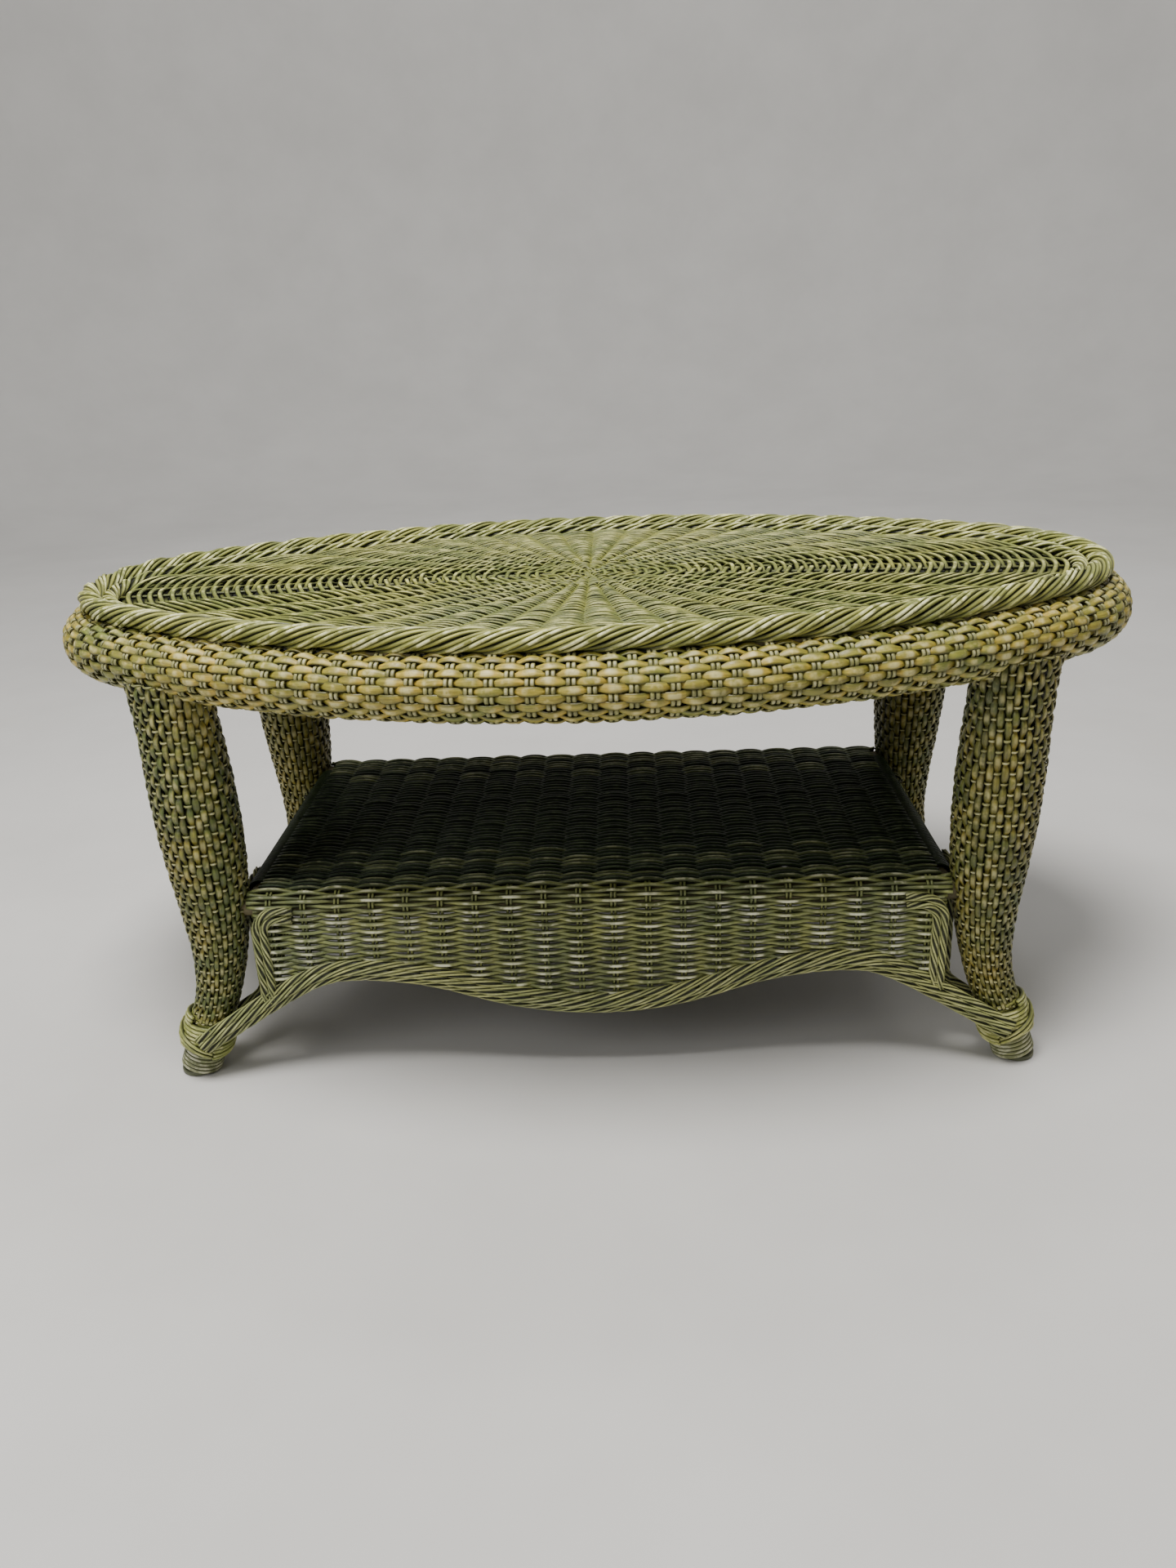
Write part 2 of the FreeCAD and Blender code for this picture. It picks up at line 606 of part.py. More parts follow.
# ---- Assembly ------------------------------------------------------------------------

def build_nodes():
    nodes = {}
    nodes["top_hoop"] = top_hoop()
    nodes["top_spine"] = top_spine()
    for i, x in enumerate(slat_places(SLAT_COUNT, SLAT_PITCH)):
        nodes["top_slat_%d" % (i + 1)] = top_slat(x)
    nodes["rim_cover"] = rim_cover()
    nodes["top_panel"] = top_panel()
    nodes["top_rope_outer"] = ring_tube(OUTER_ROPE_OFFSET, OUTER_ROPE_HEIGHT, OUTER_ROPE_RADIUS)
    nodes["top_rope_inner"] = ring_tube(INNER_ROPE_OFFSET, INNER_ROPE_HEIGHT, INNER_ROPE_RADIUS)

    corner_pieces = {"leg_post": leg_post(), "leg_cover": leg_cover(), "foot_wrap": foot_wrap(),
                     "ankle_braid": ankle_braid(), "foot_glide": foot_glide()}
    for name, piece in corner_pieces.items():
        for corner, (sx, sy) in CORNERS.items():
            nodes["%s_%s" % (name, corner)] = mirrored(piece, sx, sy)

    rail = long_rail()
    nodes["shelf_rail_rear"] = rail
    nodes["shelf_rail_front"] = mirrored(rail, 1, -1)
    rail = side_rail()
    nodes["shelf_rail_right"] = rail
    nodes["shelf_rail_left"] = mirrored(rail, -1, 1)
    for i, x in enumerate(slat_places(SHELF_SLAT_COUNT, SHELF_SLAT_PITCH)):
        nodes["shelf_slat_%d" % (i + 1)] = shelf_slat(x)
    nodes["shelf_panel"] = shelf_panel()

    rear = apron(REAR, V(0, 1, 0))
    right = apron(RIGHT, V(1, 0, 0))
    rear_rope = edge_rope(REAR)
    right_rope = edge_rope(RIGHT)
    rear_end = end_rope(REAR)
    right_end = end_rope(RIGHT)
    for side, (sx, sy) in {"rear": (1, 1), "front": (1, -1)}.items():
        nodes["apron_" + side] = mirrored(rear, sx, sy)
        nodes["edge_rope_" + side] = mirrored(rear_rope, sx, sy)
        nodes["end_rope_%s_right" % side] = mirrored(rear_end, 1, sy)
        nodes["end_rope_%s_left" % side] = mirrored(rear_end, -1, sy)
    for side, (sx, sy) in {"right": (1, 1), "left": (-1, 1)}.items():
        nodes["apron_" + side] = mirrored(right, sx, sy)
        nodes["edge_rope_" + side] = mirrored(right_rope, sx, sy)
        nodes["end_rope_%s_rear" % side] = mirrored(right_end, sx, 1)
        nodes["end_rope_%s_front" % side] = mirrored(right_end, sx, -1)

    screws = [mirrored(hoop_screw(0), sx, sy) for sx, sy in CORNERS.values()]
    nodes["hoop_screws"] = Part.makeCompound(screws)
    screws = [mirrored(rail_screw(0), sx, sy) for sx, sy in CORNERS.values()]
    nodes["rail_screws"] = Part.makeCompound(screws)
    nodes["slat_nails"] = Part.makeCompound([slat_nail(x, y, 0) for x, y in slat_nail_places()])
    return nodes


os.makedirs("parts", exist_ok=True)
NODES = build_nodes()
for node_name, shape in NODES.items():
    shape.exportStep("parts/%s.step" % node_name)
    bounds = shape.BoundBox
    print("%-24s solids %d valid %s volume %.0f  x %.1f..%.1f y %.1f..%.1f z %.1f..%.1f" % (
        node_name, len(shape.Solids), shape.isValid(), shape.Volume,
        bounds.XMin, bounds.XMax, bounds.YMin, bounds.YMax, bounds.ZMin, bounds.ZMax))
print(len(NODES), "nodes")
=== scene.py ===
# %% [markdown]
# An oval wicker coffee table: a woven top inside a rope border, a rolled rim, four wrapped legs
# on splayed feet, and a shelf whose apron hangs down to a scalloped rope. The wooden frame is
# already made and only gets its wood here. Everything woven is made in this lesson, strand by
# strand, because a bump map can't give the deep gaps and the wavy outline of real wickerwork.

# %% Load the frame
import json
import math

import bpy
import numpy as np
from mathutils import Matrix, Vector


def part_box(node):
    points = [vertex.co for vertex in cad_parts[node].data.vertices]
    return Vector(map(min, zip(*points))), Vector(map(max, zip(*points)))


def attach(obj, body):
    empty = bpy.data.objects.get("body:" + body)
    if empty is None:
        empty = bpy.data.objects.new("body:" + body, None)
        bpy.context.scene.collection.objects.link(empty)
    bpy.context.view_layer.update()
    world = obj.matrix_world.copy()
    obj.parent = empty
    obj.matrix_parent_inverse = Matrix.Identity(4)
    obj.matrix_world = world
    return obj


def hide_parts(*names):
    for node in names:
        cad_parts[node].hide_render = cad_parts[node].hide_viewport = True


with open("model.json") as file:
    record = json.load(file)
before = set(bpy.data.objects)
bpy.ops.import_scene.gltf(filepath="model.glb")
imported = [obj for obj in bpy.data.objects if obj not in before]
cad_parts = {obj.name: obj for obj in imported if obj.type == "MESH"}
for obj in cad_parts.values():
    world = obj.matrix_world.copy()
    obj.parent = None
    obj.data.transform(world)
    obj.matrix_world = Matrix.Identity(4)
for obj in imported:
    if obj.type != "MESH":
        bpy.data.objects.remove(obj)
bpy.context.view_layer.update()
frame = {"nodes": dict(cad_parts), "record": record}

print("frame nodes:", len(frame["nodes"]))

# %% [markdown]
# The rim is a four-centre oval: two end arcs and two side arcs that meet tangentially. Other
# shapes would do, such as an ellipse, but with arcs every rope and strand beside the rim is the
# same oval moved in or out, and one function gives them all.

# %% The rim's oval
ROLL_RADIUS = 0.028
END_RADIUS = 0.160
rim_low, rim_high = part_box("rim_cover")
HALF_LENGTH = rim_high.x - ROLL_RADIUS
HALF_DEPTH = rim_high.y - ROLL_RADIUS
ROLL_HEIGHT = rim_low.z + ROLL_RADIUS
END_CENTRE = HALF_LENGTH - END_RADIUS
HALF_GAP = HALF_DEPTH - END_RADIUS
SIDE_CENTRE = (END_CENTRE ** 2 - HALF_GAP ** 2) / (2 * HALF_GAP)
SIDE_RADIUS = HALF_DEPTH + SIDE_CENTRE
JOIN_TURN = math.atan2(SIDE_CENTRE, END_CENTRE)


def oval(turn, offset):
    """The oval's points and outward directions, where it faces the angle called turn."""
    c, s = np.cos(turn), np.sin(turn)
    at_end = np.arctan2(np.abs(s), np.abs(c)) < JOIN_TURN
    end, side = END_RADIUS + offset, SIDE_RADIUS + offset
    x = np.where(at_end, np.sign(c) * END_CENTRE + end * c, side * c)
    y = np.where(at_end, end * s, side * s - np.sign(s) * SIDE_CENTRE)
    flat = np.zeros_like(x)
    return np.stack([x, y, flat], -1), np.stack([c, s, flat], -1)


def even_turns(count, offset=0.0):
    """Angles whose points on the oval are evenly spaced, and the oval's length."""
    fine = np.linspace(0, 2 * math.pi, 4001)
    points, _ = oval(fine, offset)
    run = np.concatenate([[0], np.cumsum(np.linalg.norm(np.diff(points, axis=0), axis=1))])
    steps = np.arange(count) * run[-1] / count
    return np.interp(steps, run, fine), run[-1]


print("oval %.0f mm round" % (even_turns(8)[1] * 1000))

# %% [markdown]
# Every strand is a tube swept along a path: round for reed, flattened for cane. A bundle gathers
# strands into one mesh, and marks each point with what the stains need later: how far along its
# strand it is, where round it, the strand's own number, and how proud it stands of the weave.

# %% Bundles of strands
RNG = np.random.default_rng(11)
UP = np.array([0.0, 0.0, 1.0])
ANY_PHASE = 6.0


def unit(vectors):
    return vectors / np.maximum(np.linalg.norm(vectors, axis=-1, keepdims=True), 1e-12)


def ripple(along, frequency):
    """A sine wave along a strand, which starts anywhere in its wave."""
    return np.sin(along * frequency + RNG.random() * ANY_PHASE)


class Bundle:
    def __init__(self, name, slot, replaced, sink, rise, finish=None):
        self.name, self.slot, self.replaced = name, slot, replaced
        self.finish = finish or slot
        # sink and rise span the weave's depth: the stain paints shade on points low in that span and
        # wear on the high ones
        self.sink, self.rise = sink, rise
        self.parts, self.quads, self.count = [], [], 0

    def strand(self, path, out, width, depth, height=0.0, closed=False, sides=6):
        """One strand. height is how far its middle stands above the weave's own middle."""
        path = np.asarray(path, float)
        n = len(path)
        out = np.broadcast_to(np.asarray(out, float), path.shape)
        if closed:
            along = np.roll(path, -1, 0) - np.roll(path, 1, 0)
        else:
            along = np.gradient(path, axis=0)
        along = unit(along)
        side = unit(np.cross(along, out))
        out = np.cross(side, along)
        width = np.broadcast_to(np.asarray(width, float), (n,))[:, None, None]
        depth = np.broadcast_to(np.asarray(depth, float), (n,))[:, None, None]
        height = np.broadcast_to(np.asarray(height, float), (n,))[:, None]
        angle = np.arange(sides) * 2 * math.pi / sides
        c, s = np.cos(angle)[None, :, None], np.sin(angle)[None, :, None]
        ring = path[:, None] + side[:, None] * width * c + out[:, None] * depth * s
        run = np.concatenate([[0], np.cumsum(np.linalg.norm(np.diff(path, axis=0), axis=1))])
        marks = np.empty((n, sides, 4))
        marks[:, :, 0] = run[:, None]
        marks[:, :, 1] = np.cos(angle)[None]
        marks[:, :, 2] = RNG.random()
        level = height + depth[:, :, 0] * np.sin(angle)[None]
        marks[:, :, 3] = np.clip((level - self.sink) / (self.rise - self.sink), 0, 1)
        self.parts.append((ring.reshape(-1, 3), marks.reshape(-1, 4)))
        i = np.arange(n if closed else n - 1)[:, None]
        j = np.arange(sides)[None]
        a, b = i * sides, ((i + 1) % n) * sides
        k = (j + 1) % sides
        quads = np.stack([a + j, b + j, b + k, a + k], -1).reshape(-1, 4)
        if not closed:
            fan = [[0, q, q + 1, q + 2] for q in range(1, sides - 2, 2)]
            last = (n - 1) * sides
            caps = fan + [[last + q for q in reversed(quad)] for quad in fan]
            quads = np.concatenate([quads, caps])
        self.quads.append(quads + self.count)
        self.count += n * sides

    def weave(self):
        """Turn the gathered strands into a piece of the table."""
        points = np.concatenate([p for p, _ in self.parts]).astype(np.float32)
        marks = np.concatenate([m for _, m in self.parts]).astype(np.float32)
        quads = np.concatenate(self.quads).astype(np.int32)
        mesh = bpy.data.meshes.new(self.name)
        mesh.vertices.add(len(points))
        mesh.vertices.foreach_set("co", points.ravel())
        mesh.loops.add(quads.size)
        mesh.loops.foreach_set("vertex_index", quads.ravel())
        mesh.polygons.add(len(quads))
        mesh.polygons.foreach_set("loop_start", np.arange(0, quads.size, 4, dtype=np.int32))
        mesh.polygons.foreach_set("use_smooth", np.ones(len(quads), bool))
        mesh.update(calc_edges=True)
        reed = mesh.attributes.new("reed", "FLOAT_VECTOR", "POINT")
        reed.data.foreach_set("vector", marks[:, :3].ravel())
        proud = mesh.attributes.new("proud", "FLOAT", "POINT")
        proud.data.foreach_set("value", marks[:, 3].ravel())
        piece = bpy.data.objects.new(self.name, mesh)
        bpy.context.scene.collection.objects.link(piece)
        mesh.materials.append(FINISHES[self.finish])
        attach(piece, "root")
        if self.replaced:
            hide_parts(*self.replaced)
        print("%-20s %3d strands, %6d faces" % (self.name, len(self.parts), len(quads)))
        return piece


def over_under(phase):
    """A strand's height, 1 over a stake to -1 under the next, a little flattened on top."""
    c = np.cos(math.pi * phase)
    return c * (1.25 - 0.25 * c * c)


def long_over(phase):
    """The same wave for upright strands, which stay above the hoops for most of their length."""
    c = np.cos(math.pi * phase)
    return 0.85 * c + 0.30 * (1 - c * c)


# %% [markdown]
# The finishes are wired from the same few nodes: sums, blends, soft steps and noise. Nodes can be
# placed by hand in the shader editor, but in a script each kind is a short helper, so the wiring
# of a finish reads like a formula.

# %% Node helpers
def socket(group, name, kind, value=None, out=False):
    way = "OUTPUT" if out else "INPUT"
    made = group.interface.new_socket(name=name, in_out=way, socket_type=kind)
    if value is not None:
        made.default_value = value
    return made


def math_node(tree, operation, first, second=None, clamp=False):
    node = tree.nodes.new("ShaderNodeMath")
    node.operation = operation
    node.use_clamp = clamp
    for place, value in enumerate((first, second)):
        if value is None:
            continue
        if isinstance(value, (int, float)):
            node.inputs[place].default_value = value
        else:
            tree.links.new(value, node.inputs[place])
    return node.outputs[0]


def blend(tree, amount, first, second, kind="MIX"):
    node = tree.nodes.new("ShaderNodeMix")
    node.data_type = "RGBA"
    node.blend_type = kind
    for place, value in ((0, amount), (6, first), (7, second)):
        if isinstance(value, (int, float, tuple)):
            node.inputs[place].default_value = value
        else:
            tree.links.new(value, node.inputs[place])
    return node.outputs[2]


def ramp(tree, value, low, high, to_low=0.0, to_high=1.0):
    node = tree.nodes.new("ShaderNodeMapRange")
    node.interpolation_type = "SMOOTHSTEP"
    tree.links.new(value, node.inputs[0])
    for place, number in zip((1, 2, 3, 4), (low, high, to_low, to_high)):
        if isinstance(number, (int, float)):
            node.inputs[place].default_value = number
        else:
            tree.links.new(number, node.inputs[place])
    return node.outputs[0]


def noise(tree, vector, scale, detail=3.0, rough=0.55):
    node = tree.nodes.new("ShaderNodeTexNoise")
    node.inputs["Scale"].default_value = scale
    node.inputs["Detail"].default_value = detail
    node.inputs["Roughness"].default_value = rough
    tree.links.new(vector, node.inputs["Vector"])
    return node.outputs["Fac"]


print("node helpers ready")

# %% [markdown]
# All the cane and reed was dyed the same way: a moss green stain over golden cane, rubbed thin
# where hands and boxes touch it. Painted shade makes it nearly black down in the gaps and darker
# along each strand's sides, and a painted highlight lifts each crest. One node group does that from
# the marks on the strands, so each finish only chooses its own colours. The streaks follow each
# strand, because the noise is stretched along it.

# %% Stain group
def stain_group():
    group = bpy.data.node_groups.new("Reed stain", "ShaderNodeTree")
    socket(group, "Golden", "NodeSocketColor", (0.40, 0.30, 0.08, 1))
    socket(group, "Green", "NodeSocketColor", (0.15, 0.17, 0.05, 1))
    socket(group, "Pale", "NodeSocketColor", (0.50, 0.50, 0.36, 1))
    socket(group, "Gap shade", "NodeSocketColor", (0.012, 0.014, 0.006, 1))
    socket(group, "Gold amount", "NodeSocketFloat", 0.5)
    socket(group, "Wear", "NodeSocketFloat", 0.5)
    socket(group, "Depth", "NodeSocketFloat", 0.45)
    socket(group, "Side shade", "NodeSocketFloat", 0.5)
    socket(group, "Color", "NodeSocketColor", out=True)
    socket(group, "Roughness", "NodeSocketFloat", out=True)
    socket(group, "Height", "NodeSocketFloat", out=True)
    given = group.nodes.new("NodeGroupInput").outputs
    result = group.nodes.new("NodeGroupOutput").inputs
    reed = group.nodes.new("ShaderNodeAttribute")
    reed.attribute_name = "reed"
    proud = group.nodes.new("ShaderNodeAttribute")
    proud.attribute_name = "proud"
    place = group.nodes.new("ShaderNodeTexCoord").outputs["Object"]
    stretch = group.nodes.new("ShaderNodeVectorMath")
    stretch.operation = "MULTIPLY"
    stretch.inputs[1].default_value = (45.0, 1.6, 61.0)
    group.links.new(reed.outputs["Vector"], stretch.inputs[0])
    parts = group.nodes.new("ShaderNodeSeparateXYZ")
    group.links.new(reed.outputs["Vector"], parts.inputs[0])
    streak = noise(group, stretch.outputs[0], 1.0, 4.0, 0.65)
    fibre = group.nodes.new("ShaderNodeVectorMath")
    fibre.operation = "MULTIPLY"
    fibre.inputs[1].default_value = (160.0, 9.0, 83.0)
    group.links.new(reed.outputs["Vector"], fibre.inputs[0])
    fibres = noise(group, fibre.outputs[0], 1.0, 2.0, 0.5)
    patch = noise(group, place, 9.0, 3.0, 0.6)
    mottle = noise(group, place, 75.0, 3.0, 0.6)
    own = group.nodes.new("ShaderNodeTexWhiteNoise")
    own.noise_dimensions = "1D"
    group.links.new(parts.outputs[2], own.inputs["W"])
    # golden cane shows through along the middle of each strand, in patches
    off_middle = math_node(group, "ABSOLUTE", parts.outputs[1])
    middle = math_node(group, "SUBTRACT", 1.0, math_node(group, "POWER", off_middle, 2.0))
    gold = math_node(group, "ADD", math_node(group, "MULTIPLY", ramp(group, patch, 0.36, 0.66), 0.55),
                     math_node(group, "MULTIPLY", ramp(group, mottle, 0.40, 0.70), 0.55))
    crown = math_node(group, "ADD", math_node(group, "MULTIPLY", middle, 0.6), 0.4)
    gold = math_node(group, "MULTIPLY", gold, crown)
    gold = math_node(group, "MULTIPLY", gold, given["Gold amount"], True)
    base = blend(group, gold, given["Green"], given["Golden"])
    # each strand took the dye differently, and so did each streak in it
    shade = math_node(group, "ADD", math_node(group, "MULTIPLY", own.outputs["Value"], 0.42), 0.66)
    shade = math_node(group, "MULTIPLY", shade, ramp(group, streak, 0.28, 0.72, 0.62, 1.30))
    shaded = group.nodes.new("ShaderNodeVectorMath")
    shaded.operation = "SCALE"
    group.links.new(base, shaded.inputs[0])
    # painted shade along both sides of every strand, and a painted highlight along its crest
    side_shade_crest_light = ramp(group, middle, 0.05, 0.92, given["Side shade"], 1.12)
    shade = math_node(group, "MULTIPLY", shade, side_shade_crest_light)
    group.links.new(shade, shaded.inputs["Scale"])
    # rubbed pale on the high spots
    rub = ramp(group, proud.outputs["Fac"], 0.78, 1.0)
    rub = math_node(group, "MULTIPLY", rub, ramp(group, mottle, 0.42, 0.62))
    bare = math_node(group, "MULTIPLY", ramp(group, fibres, 0.62, 0.78), 0.5)
    rub = math_node(group, "ADD", rub, bare)
    rub = math_node(group, "MULTIPLY", rub, ramp(group, middle, 0.35, 0.95))
    rub = math_node(group, "MULTIPLY", rub, given["Wear"], True)
    paler = blend(group, rub, shaded.outputs[0], given["Pale"])
    # painted shade: nearly black in the gaps, wherever a point lies low in the weave
    sunk = math_node(group, "SUBTRACT", 1.0, ramp(group, proud.outputs["Fac"], 0.12, given["Depth"]))
    gap_shade = math_node(group, "MULTIPLY", sunk, 0.93)
    group.links.new(blend(group, gap_shade, paler, given["Gap shade"]), result["Color"])
    rough = math_node(group, "ADD", math_node(group, "MULTIPLY", streak, 0.30), 0.30)
    rough = math_node(group, "ADD", rough, math_node(group, "MULTIPLY", rub, 0.18), True)
    group.links.new(rough, result["Roughness"])
    ridges = math_node(group, "ADD", math_node(group, "MULTIPLY", fibres, 0.6),
                       math_node(group, "MULTIPLY", streak, 0.4))
    group.links.new(ridges, result["Height"])
    return group


STAIN = stain_group()


# %% [markdown]
# Each part of the table has its own mix. Rim and legs are flat cane with plenty of gold left. The
# top is greyer where cups have rubbed it, the apron is pale and dry, and the shelf is almost black
# green, painted shade for the top above it, with a lighter olive mix for its lit edge rows.

# %% Stained finishes
FINISHES = {}
# painted shade: the near-black colour the stain puts in the gaps and on the strands' low sides
GAP_SHADE = (0.006, 0.008, 0.003)


def new_material(name):
    material = bpy.data.materials.new(name)
    material.use_nodes = True
    tree = material.node_tree
    tree.nodes.clear()
    shader = tree.nodes.new("ShaderNodeBsdfPrincipled")
    surface = tree.nodes.new("ShaderNodeOutputMaterial")
    tree.links.new(shader.outputs[0], surface.inputs[0])
    return material, tree, shader


def bump(tree, shader, height, strength, distance):
    node = tree.nodes.new("ShaderNodeBump")
    node.inputs["Strength"].default_value = strength
    node.inputs["Distance"].default_value = distance
    tree.links.new(height, node.inputs["Height"])
    tree.links.new(node.outputs[0], shader.inputs["Normal"])


def stained(slot, golden, green, pale, gold, wear, depth, side=0.45, coat=0.12, shine=0.5):
    """A material for one kind of cane. The numbers go to the stain and to the shader's gloss."""
    material, tree, shader = new_material(slot + "_finish")
    stain = tree.nodes.new("ShaderNodeGroup")
    stain.node_tree = STAIN
    for name, value in (("Golden", golden), ("Green", green), ("Pale", pale), ("Gap shade", GAP_SHADE)):
        stain.inputs[name].default_value = (*value, 1)
    # side sets the painted shade on each strand's sides; depth sets how high the painted gap shade
    # reaches
    for name, value in (("Gold amount", gold), ("Wear", wear), ("Depth", depth),
                        ("Side shade", side)):
        stain.inputs[name].default_value = value
    tree.links.new(stain.outputs["Color"], shader.inputs["Base Color"])
    tree.links.new(stain.outputs["Roughness"], shader.inputs["Roughness"])
    shader.inputs["Coat Weight"].default_value = coat
    shader.inputs["Specular IOR Level"].default_value = shine
    shader.inputs["Coat Roughness"].default_value = 0.32
    bump(tree, shader, stain.outputs["Height"], 0.5, 0.0006)
    FINISHES[slot] = material


stained("rim_weave", golden=(0.50, 0.35, 0.045), green=(0.16, 0.19, 0.035),
        pale=(0.72, 0.68, 0.34), gold=1.0, wear=0.65, depth=0.52, side=0.42)
stained("leg_weave", golden=(0.31, 0.23, 0.026), green=(0.080, 0.105, 0.020),
        pale=(0.58, 0.56, 0.28), gold=0.9, wear=0.55, depth=0.45, side=0.38)
stained("top_weave", golden=(0.33, 0.31, 0.05), green=(0.155, 0.185, 0.04),
        pale=(0.70, 0.69, 0.28), gold=0.75, wear=0.85, depth=0.70, side=0.22, coat=0.04, shine=0.35)
stained("rope", golden=(0.54, 0.51, 0.11), green=(0.25, 0.28, 0.07),
        pale=(0.88, 0.88, 0.48), gold=0.7, wear=0.95, depth=0.66, side=0.28, coat=0.06, shine=0.4)
stained("edge_rope", golden=(0.62, 0.60, 0.20), green=(0.28, 0.31, 0.11),
        pale=(0.95, 0.95, 0.68), gold=0.6, wear=0.95, depth=0.66, side=0.28)
stained("foot_reed", golden=(0.34, 0.32, 0.12), green=(0.18, 0.20, 0.08),
        pale=(0.78, 0.78, 0.56), gold=0.5, wear=0.95, depth=0.62, side=0.28)
# painted shade: the shelf's stain is darkened for the shade of the top above it
stained("shelf_weave", golden=(0.050, 0.075, 0.018), green=(0.012, 0.025, 0.007),
        pale=(0.16, 0.21, 0.11), gold=0.5, wear=0.60, depth=0.50, side=0.36, coat=0.0, shine=0.22)
# painted light: the shelf's edge rows, less darkened, where light reaches in under the top
stained("shelf_edge", golden=(0.22, 0.23, 0.07), green=(0.08, 0.11, 0.04),
        pale=(0.52, 0.54, 0.34), gold=0.6, wear=0.80, depth=0.52, side=0.34, coat=0.03, shine=0.3)
stained("apron_weave", golden=(0.34, 0.34, 0.08), green=(0.15, 0.18, 0.06),
        pale=(0.88, 0.88, 0.64), gold=0.6, wear=0.90, depth=0.66, side=0.24)
stained("pale_cane", golden=(0.38, 0.33, 0.10), green=(0.22, 0.23, 0.08),
        pale=(0.66, 0.64, 0.40), gold=0.8, wear=0.75, depth=0.45, side=0.55)
print("finishes:", ", ".join(FINISHES))

# %% [markdown]
# The rim is a rolled channel of flat cane. Strands run the long way round the table, and each
# passes over one pair of thin ribs and under the next, so its visible lengths look like petals
# laid like bricks. Making the petals one by one would leave their ends floating, so the whole
# strand is swept in a wave and the petals come by themselves.

# %% The rim's weave
SKIN = 0.006
CANE = 0.0011
RIM_TOP_TURN = math.radians(104)
RIM_END_TURN = math.radians(-184)
RIM_ROWS = 20
RIM_SPLINTS = 16
PER_RIB = 6
RIB_PITCH = 0.0148
RIM_SWING = SKIN / 2 - CANE
_, rim_round = even_turns(8)
RIBS = 2 * round(rim_round / RIB_PITCH / 2)


def rim_point(turn, roll, height):
    """Where the rim's skin is: turn goes round the table, roll round its section."""
    reach = ROLL_RADIUS - SKIN / 2 + height
    points, out = oval(turn, reach * np.cos(roll))
    points = points + UP * (ROLL_HEIGHT + reach * np.sin(roll))[..., None]
    return points, unit(out * np.cos(roll)[..., None] + UP * np.sin(roll)[..., None])


def rim_strands(name, first, last, replaced):
    bundle = Bundle(name, "rim_weave", replaced, -SKIN / 2, SKIN / 2)
    turns, _ = even_turns(RIBS * PER_RIB)
    phase = np.arange(RIBS * PER_RIB) / PER_RIB
    for row in range(first, last):
        share = (row + 0.5) / RIM_ROWS
        lane = RIM_TOP_TURN + (RIM_END_TURN - RIM_TOP_TURN) * share
        wobble = 0.022 * ripple(turns, RNG.integers(9, 23))
        wobble += 0.014 * ripple(turns, RNG.integers(40, 70))
        swell = RIM_SWING * (1 + 0.14 * ripple(turns, RNG.integers(31, 57)))
        drift = 0.09 * ripple(turns, RNG.integers(15, 45))
        height = over_under(phase + row + drift) * swell
        roll = np.full_like(turns, lane) + wobble
        path, out = rim_point(turns, roll, height)
        showing = 0.5 + 0.5 * over_under(phase + row)
        width = 0.0030 + 0.0009 * showing + 0.0002 * np.sin(turns * RNG.integers(60, 90))
        bundle.strand(path, out, width, CANE, height, closed=True, sides=8)
    return bundle.weave()


def rim_ribs(name, side_wanted):
    bundle = Bundle(name, "rim_weave", [], -SKIN / 2, SKIN / 2, "pale_cane")
    turns, _ = even_turns(RIBS)
    rows = np.linspace(-0.5, RIM_ROWS - 0.5, RIM_ROWS * 4 + 1)
    roll = RIM_TOP_TURN + (RIM_END_TURN - RIM_TOP_TURN) * (rows + 0.5) / RIM_ROWS
    for rib, turn in enumerate(turns):
        if (math.sin(turn) < 0) != (side_wanted < 0):
            continue
        curve = SIDE_RADIUS if abs(math.sin(turn)) > math.sin(JOIN_TURN) else END_RADIUS
        rib_gap = 0.0020 / curve
        for side in (-1, 1):
            height = -over_under(rows + rib) * RIM_SWING * 0.95
            near = turn + side * rib_gap * np.ones_like(roll)
            path, out = rim_point(near, roll, height)
            bundle.strand(path, out, 0.0019, 0.0009, height, sides=6)
    return bundle.weave()


def rim_shade_splints():
    """Flat splints laid inside the roll, so that no light comes through its gaps, painted nearly
    black as the shade inside it.
    """
    bundle = Bundle("rim_shade_splints", "rim_weave", [], 0.0, 1.0)
    turns, _ = even_turns(240)
    for roll in np.linspace(RIM_TOP_TURN + 0.35, RIM_END_TURN, RIM_SPLINTS):
        path, out = rim_point(turns, np.full_like(turns, roll), -SKIN / 2 - 0.0012)
        # height -1.0 lies below the bundle's span of 0 to 1, so the stain paints these splints nearly
        # black: painted shade
        bundle.strand(path, out, 0.0052, 0.0006, -1.0, closed=True, sides=6)
    return bundle.weave()


rim_strands("rim_upper", 0, RIM_ROWS // 2, ["rim_cover"])
rim_strands("rim_lower", RIM_ROWS // 2, RIM_ROWS, [])
rim_ribs("rim_ribs_front", -1)
rim_ribs("rim_ribs_rear", 1)
rim_shade_splints()

# %% [markdown]
# The top is woven like a basket's base: spokes spread from the middle, and round reeds run round
# and round in ovals, over one spoke and under the next. Near the middle the spokes are too close,
# so the reeds take them in pairs and then in fours. Rows are as many across the table as along it,
# so they crowd together at the front and open up into small holes towards the ends.

